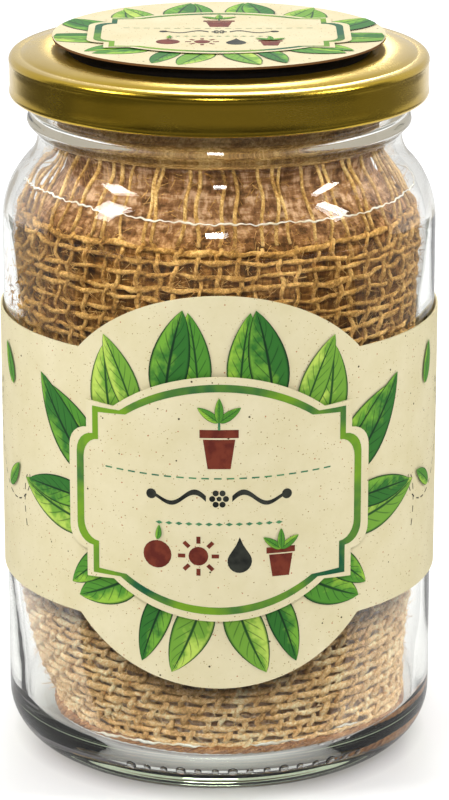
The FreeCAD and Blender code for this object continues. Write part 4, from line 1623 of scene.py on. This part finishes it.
def card(name, colour, middle, width, depth, turn=(0, 0, 0), through_glass=False):
    """A card round the jar that dims what metal and glass mirror, or also what the glass's edge bends in."""
    piece = plane(name, 1.0, middle)
    piece.scale = (width, depth, 1)
    piece.rotation_euler = turn
    piece.data.materials.append(card_finish(name, colour))
    piece.visible_camera = False
    piece.visible_diffuse = False
    piece.visible_shadow = False
    piece.visible_transmission = through_glass
    return piece


def stage():
    """The table, and the cards that stand for a dim room in front of it."""
    table = plane("table", 6.0, (0, 0, 0))
    table.data.materials.append(floor_finish())
    upright = (math.radians(90), 0, 0)
    sideways = (math.radians(90), 0, math.radians(90))
    card("low_card", "#949088", (0, -0.72, 0.003), 2.8, 1.3, through_glass=True)
    card("near_card", "#66665E", (0, -0.189, 0.004), 1.2, 0.284, through_glass=True)
    card("far_card", "#5C5A5E", (0, -1.05, 0.004), 2.8, 0.3)
    card("front_wall", "#363636", (0, -1.5, 1.2), 3.6, 2.4, upright, True)
    card("ceiling", "#363636", (0, -0.8, 2.0), 3.6, 1.5, through_glass=True)
    for side, tone in ((-1, "#66645E"), (1, "#8A8882")):
        card("side_wall", "#686866", (side * 1.7, -0.5, 1.0), 2.0, 2.0, sideways, True)
        card("side_card", tone, (side * 0.97, 0.2, 0.005), 1.4, 0.56)
        behind = card("side_shade", "#A4A49E", (side * 0.97, 0.2, 0.006), 1.4, 0.56, through_glass=True)
        behind.visible_glossy = False


def world():
    """White all round for what the camera and the glass see, and softer for the light it gives."""
    made = bpy.data.worlds.new("studio")
    made.use_nodes = True
    tree = made.node_tree
    tree.nodes.clear()
    shown = seen_by_eye(tree)
    room = add(tree, "Background", inputs={"Color": (1, 1, 1, 1), "Strength": 0.5})
    white = add(tree, "Background", inputs={"Color": (1, 1, 1, 1), "Strength": 1.0})
    both = add(tree, "MixShader", inputs={0: shown.outputs[0], 1: room.outputs[0], 2: white.outputs[0]})
    add(tree, "OutputWorld", inputs={"Surface": both.outputs[0]})
    bpy.context.scene.world = made


def lamp(name, place, target, width, height, power):
    """A softbox of this width and height, in metres and watts."""
    data = bpy.data.lights.new(name, "AREA")
    data.shape = "RECTANGLE"
    data.size, data.size_y = width, height
    data.energy = power
    piece = bpy.data.objects.new(name, data)
    bpy.context.collection.objects.link(piece)
    piece.location = place
    piece.rotation_euler = (Vector(target) - Vector(place)).to_track_quat("-Z", "Y").to_euler()


def lamps():
    """Two side boxes for the paired highlights, one in front and one behind for the lid's ring."""
    middle = (0, 0, 0.09)
    lamp("left_box", (-0.49, -0.165, 0.57), middle, 0.16, 0.2, 2.45)
    lamp("right_box", (0.52, -0.12, 0.56), middle, 0.08, 0.24, 2.1)
    lamp("front_box", (-0.03, -0.7, 0.5), middle, 0.12, 0.1, 1.9)
    lamp("back_box", (0.02, 0.62, 0.5), (0, 0, 0.15), 0.14, 0.3, 2.1)


def camera():
    """A long lens from above the front, which puts the jar where the photograph has it."""
    data = bpy.data.cameras.new("camera")
    data.sensor_width = 36.0
    data.lens = 162.17
    data.shift_x = 0.00675
    piece = bpy.data.objects.new("camera", data)
    bpy.context.collection.objects.link(piece)
    piece.location = (0, -0.71905, 0.29427)
    piece.rotation_euler = (math.radians(90 - 17.163), 0, 0)
    bpy.context.scene.camera = piece


def inks(board):
    """The print's inks, and the board that shows between them."""
    return {
        "leaf_pale": leaf_ink("leaf_ink_pale", "#B4CE58", "#6E9E34", "#1F4A1E"),
        "leaf_mid": leaf_ink("leaf_ink_mid", "#8FBA3C", "#4C8A2A", "#17401C"),
        "leaf_deep": leaf_ink("leaf_ink_deep", "#6FA534", "#2E6E26", "#0F3318"),
        "border": flat_ink("border_ink", "#0C5434", "#6E981E", 11.0),
        "brown": flat_ink("brown_ink", "#5E1E12", "#74301C", 2.0),
        "green": flat_ink("green_ink", "#2E6A4E", "#4F8A5A", 3.0),
        "dark": flat_ink("dark_ink", "#1C1E1A", "#34362E", 3.0),
        "pale": flat_ink("sand_ink", "#B09A78", "#C4AE8C", 2.0),
        "ground": board,
    }


def jar():
    """The glass with its dots, and its ripples as painted highlights."""
    glass = pressed_flint_glass()
    glass_jar(glass)
    glass_ridges(ridge_painted_highlight())
    heel_dots(glass)


def closure(board):
    """The lid with its sealing ring, foam and card."""
    lid(gold_lacquered_tinplate())
    lid_gasket(rough_fill("plastisol", "#CFC8B4", "#DAD4C2", 2.0, 0.5, 0.02))
    card_pad(rough_fill("closed_cell_foam", "#0C0908", "#1A1512", 0.4, 0.95, 0.1))
    dressed("lid_card", board)


def sleeve():
    """The paper sleeve with its plaque, foam tapes and glue line."""
    kraft = flecked_paper("flecked_paper", "#D3C89F", "#DCD2AF")
    band = paper_sheet("sleeve_paper", band_outline(), on_band)
    finished(band, "sleeve_paper", "sleeve", kraft, ["sleeve_band"])
    label = paper_sheet("plaque_paper", plaque_outline(0.0, label_middle), on_sleeve(label_radius))
    finished(label, "plaque_paper", "sleeve", kraft, ["front_label"])
    label_tapes(rough_fill("foam_tape", "#DCDAD4", "#ECEAE4", 0.5, 0.9, 0.1))
    dressed("sleeve_seam_glue", rough_fill("dried_glue", "#D8CCA0", "#E0D6B0", 1.0, 0.3, 0.02))


def sack():
    """The jute sack: weave, drawn threads, hem, seams, loose fibres and floor."""
    foot_tones, body_tones = ("#AF8652", "#EEC288", "#FFF0C8"), ("#704A1C", "#BC8A42", "#F4C478")
    yarn = jute_yarn("jute_yarn", foot_tones, body_tones, 6.0)
    foot_tones, body_tones = ("#9A6C40", "#CC9860", "#EEC68C"), ("#7E5828", "#C2944E", "#F0CC8A")
    thread = jute_yarn("jute_thread", foot_tones, body_tones, 4.0)
    stitch_tones = ("#74492A", "#A27044", "#C89868")
    stitching = jute_yarn("jute_stitching", stitch_tones, stitch_tones, 4.0)
    heights = weft_heights()
    weft(heights, yarn)
    warp(heights, yarn)
    ground(jute_ground_painted_shade())
    drawn_threads(thread)
    top_hem(thread)
    bottom_seam(stitching)
    side_seam(heights, thread)
    fuzz(yarn)
    sack_floor(yarn)


def contents():
    """What the sack holds."""
    coir_discs(rough_fill("pressed_coir", "#2A1A10", "#5A4028", 0.9, 0.95, 0.5))
    seed_sachet(flecked_paper("kraft_sachet", "#C9A878", "#D6B88A"))
    seeds(rough_fill("seed_coat", "#141210", "#2A2622", 0.3, 0.6, 0.05))


def main():
    """The stage, then the jar from the glass inwards."""
    camera()
    world()
    bpy.context.scene.view_settings.view_transform = "Standard"
    lamps()
    stage()
    board = flecked_paper("flecked_board", "#D3C79F", "#DCD1AE", board_edge=True)
    jar()
    closure(board)
    sleeve()
    printed(inks(board))
    sack()
    contents()


main()
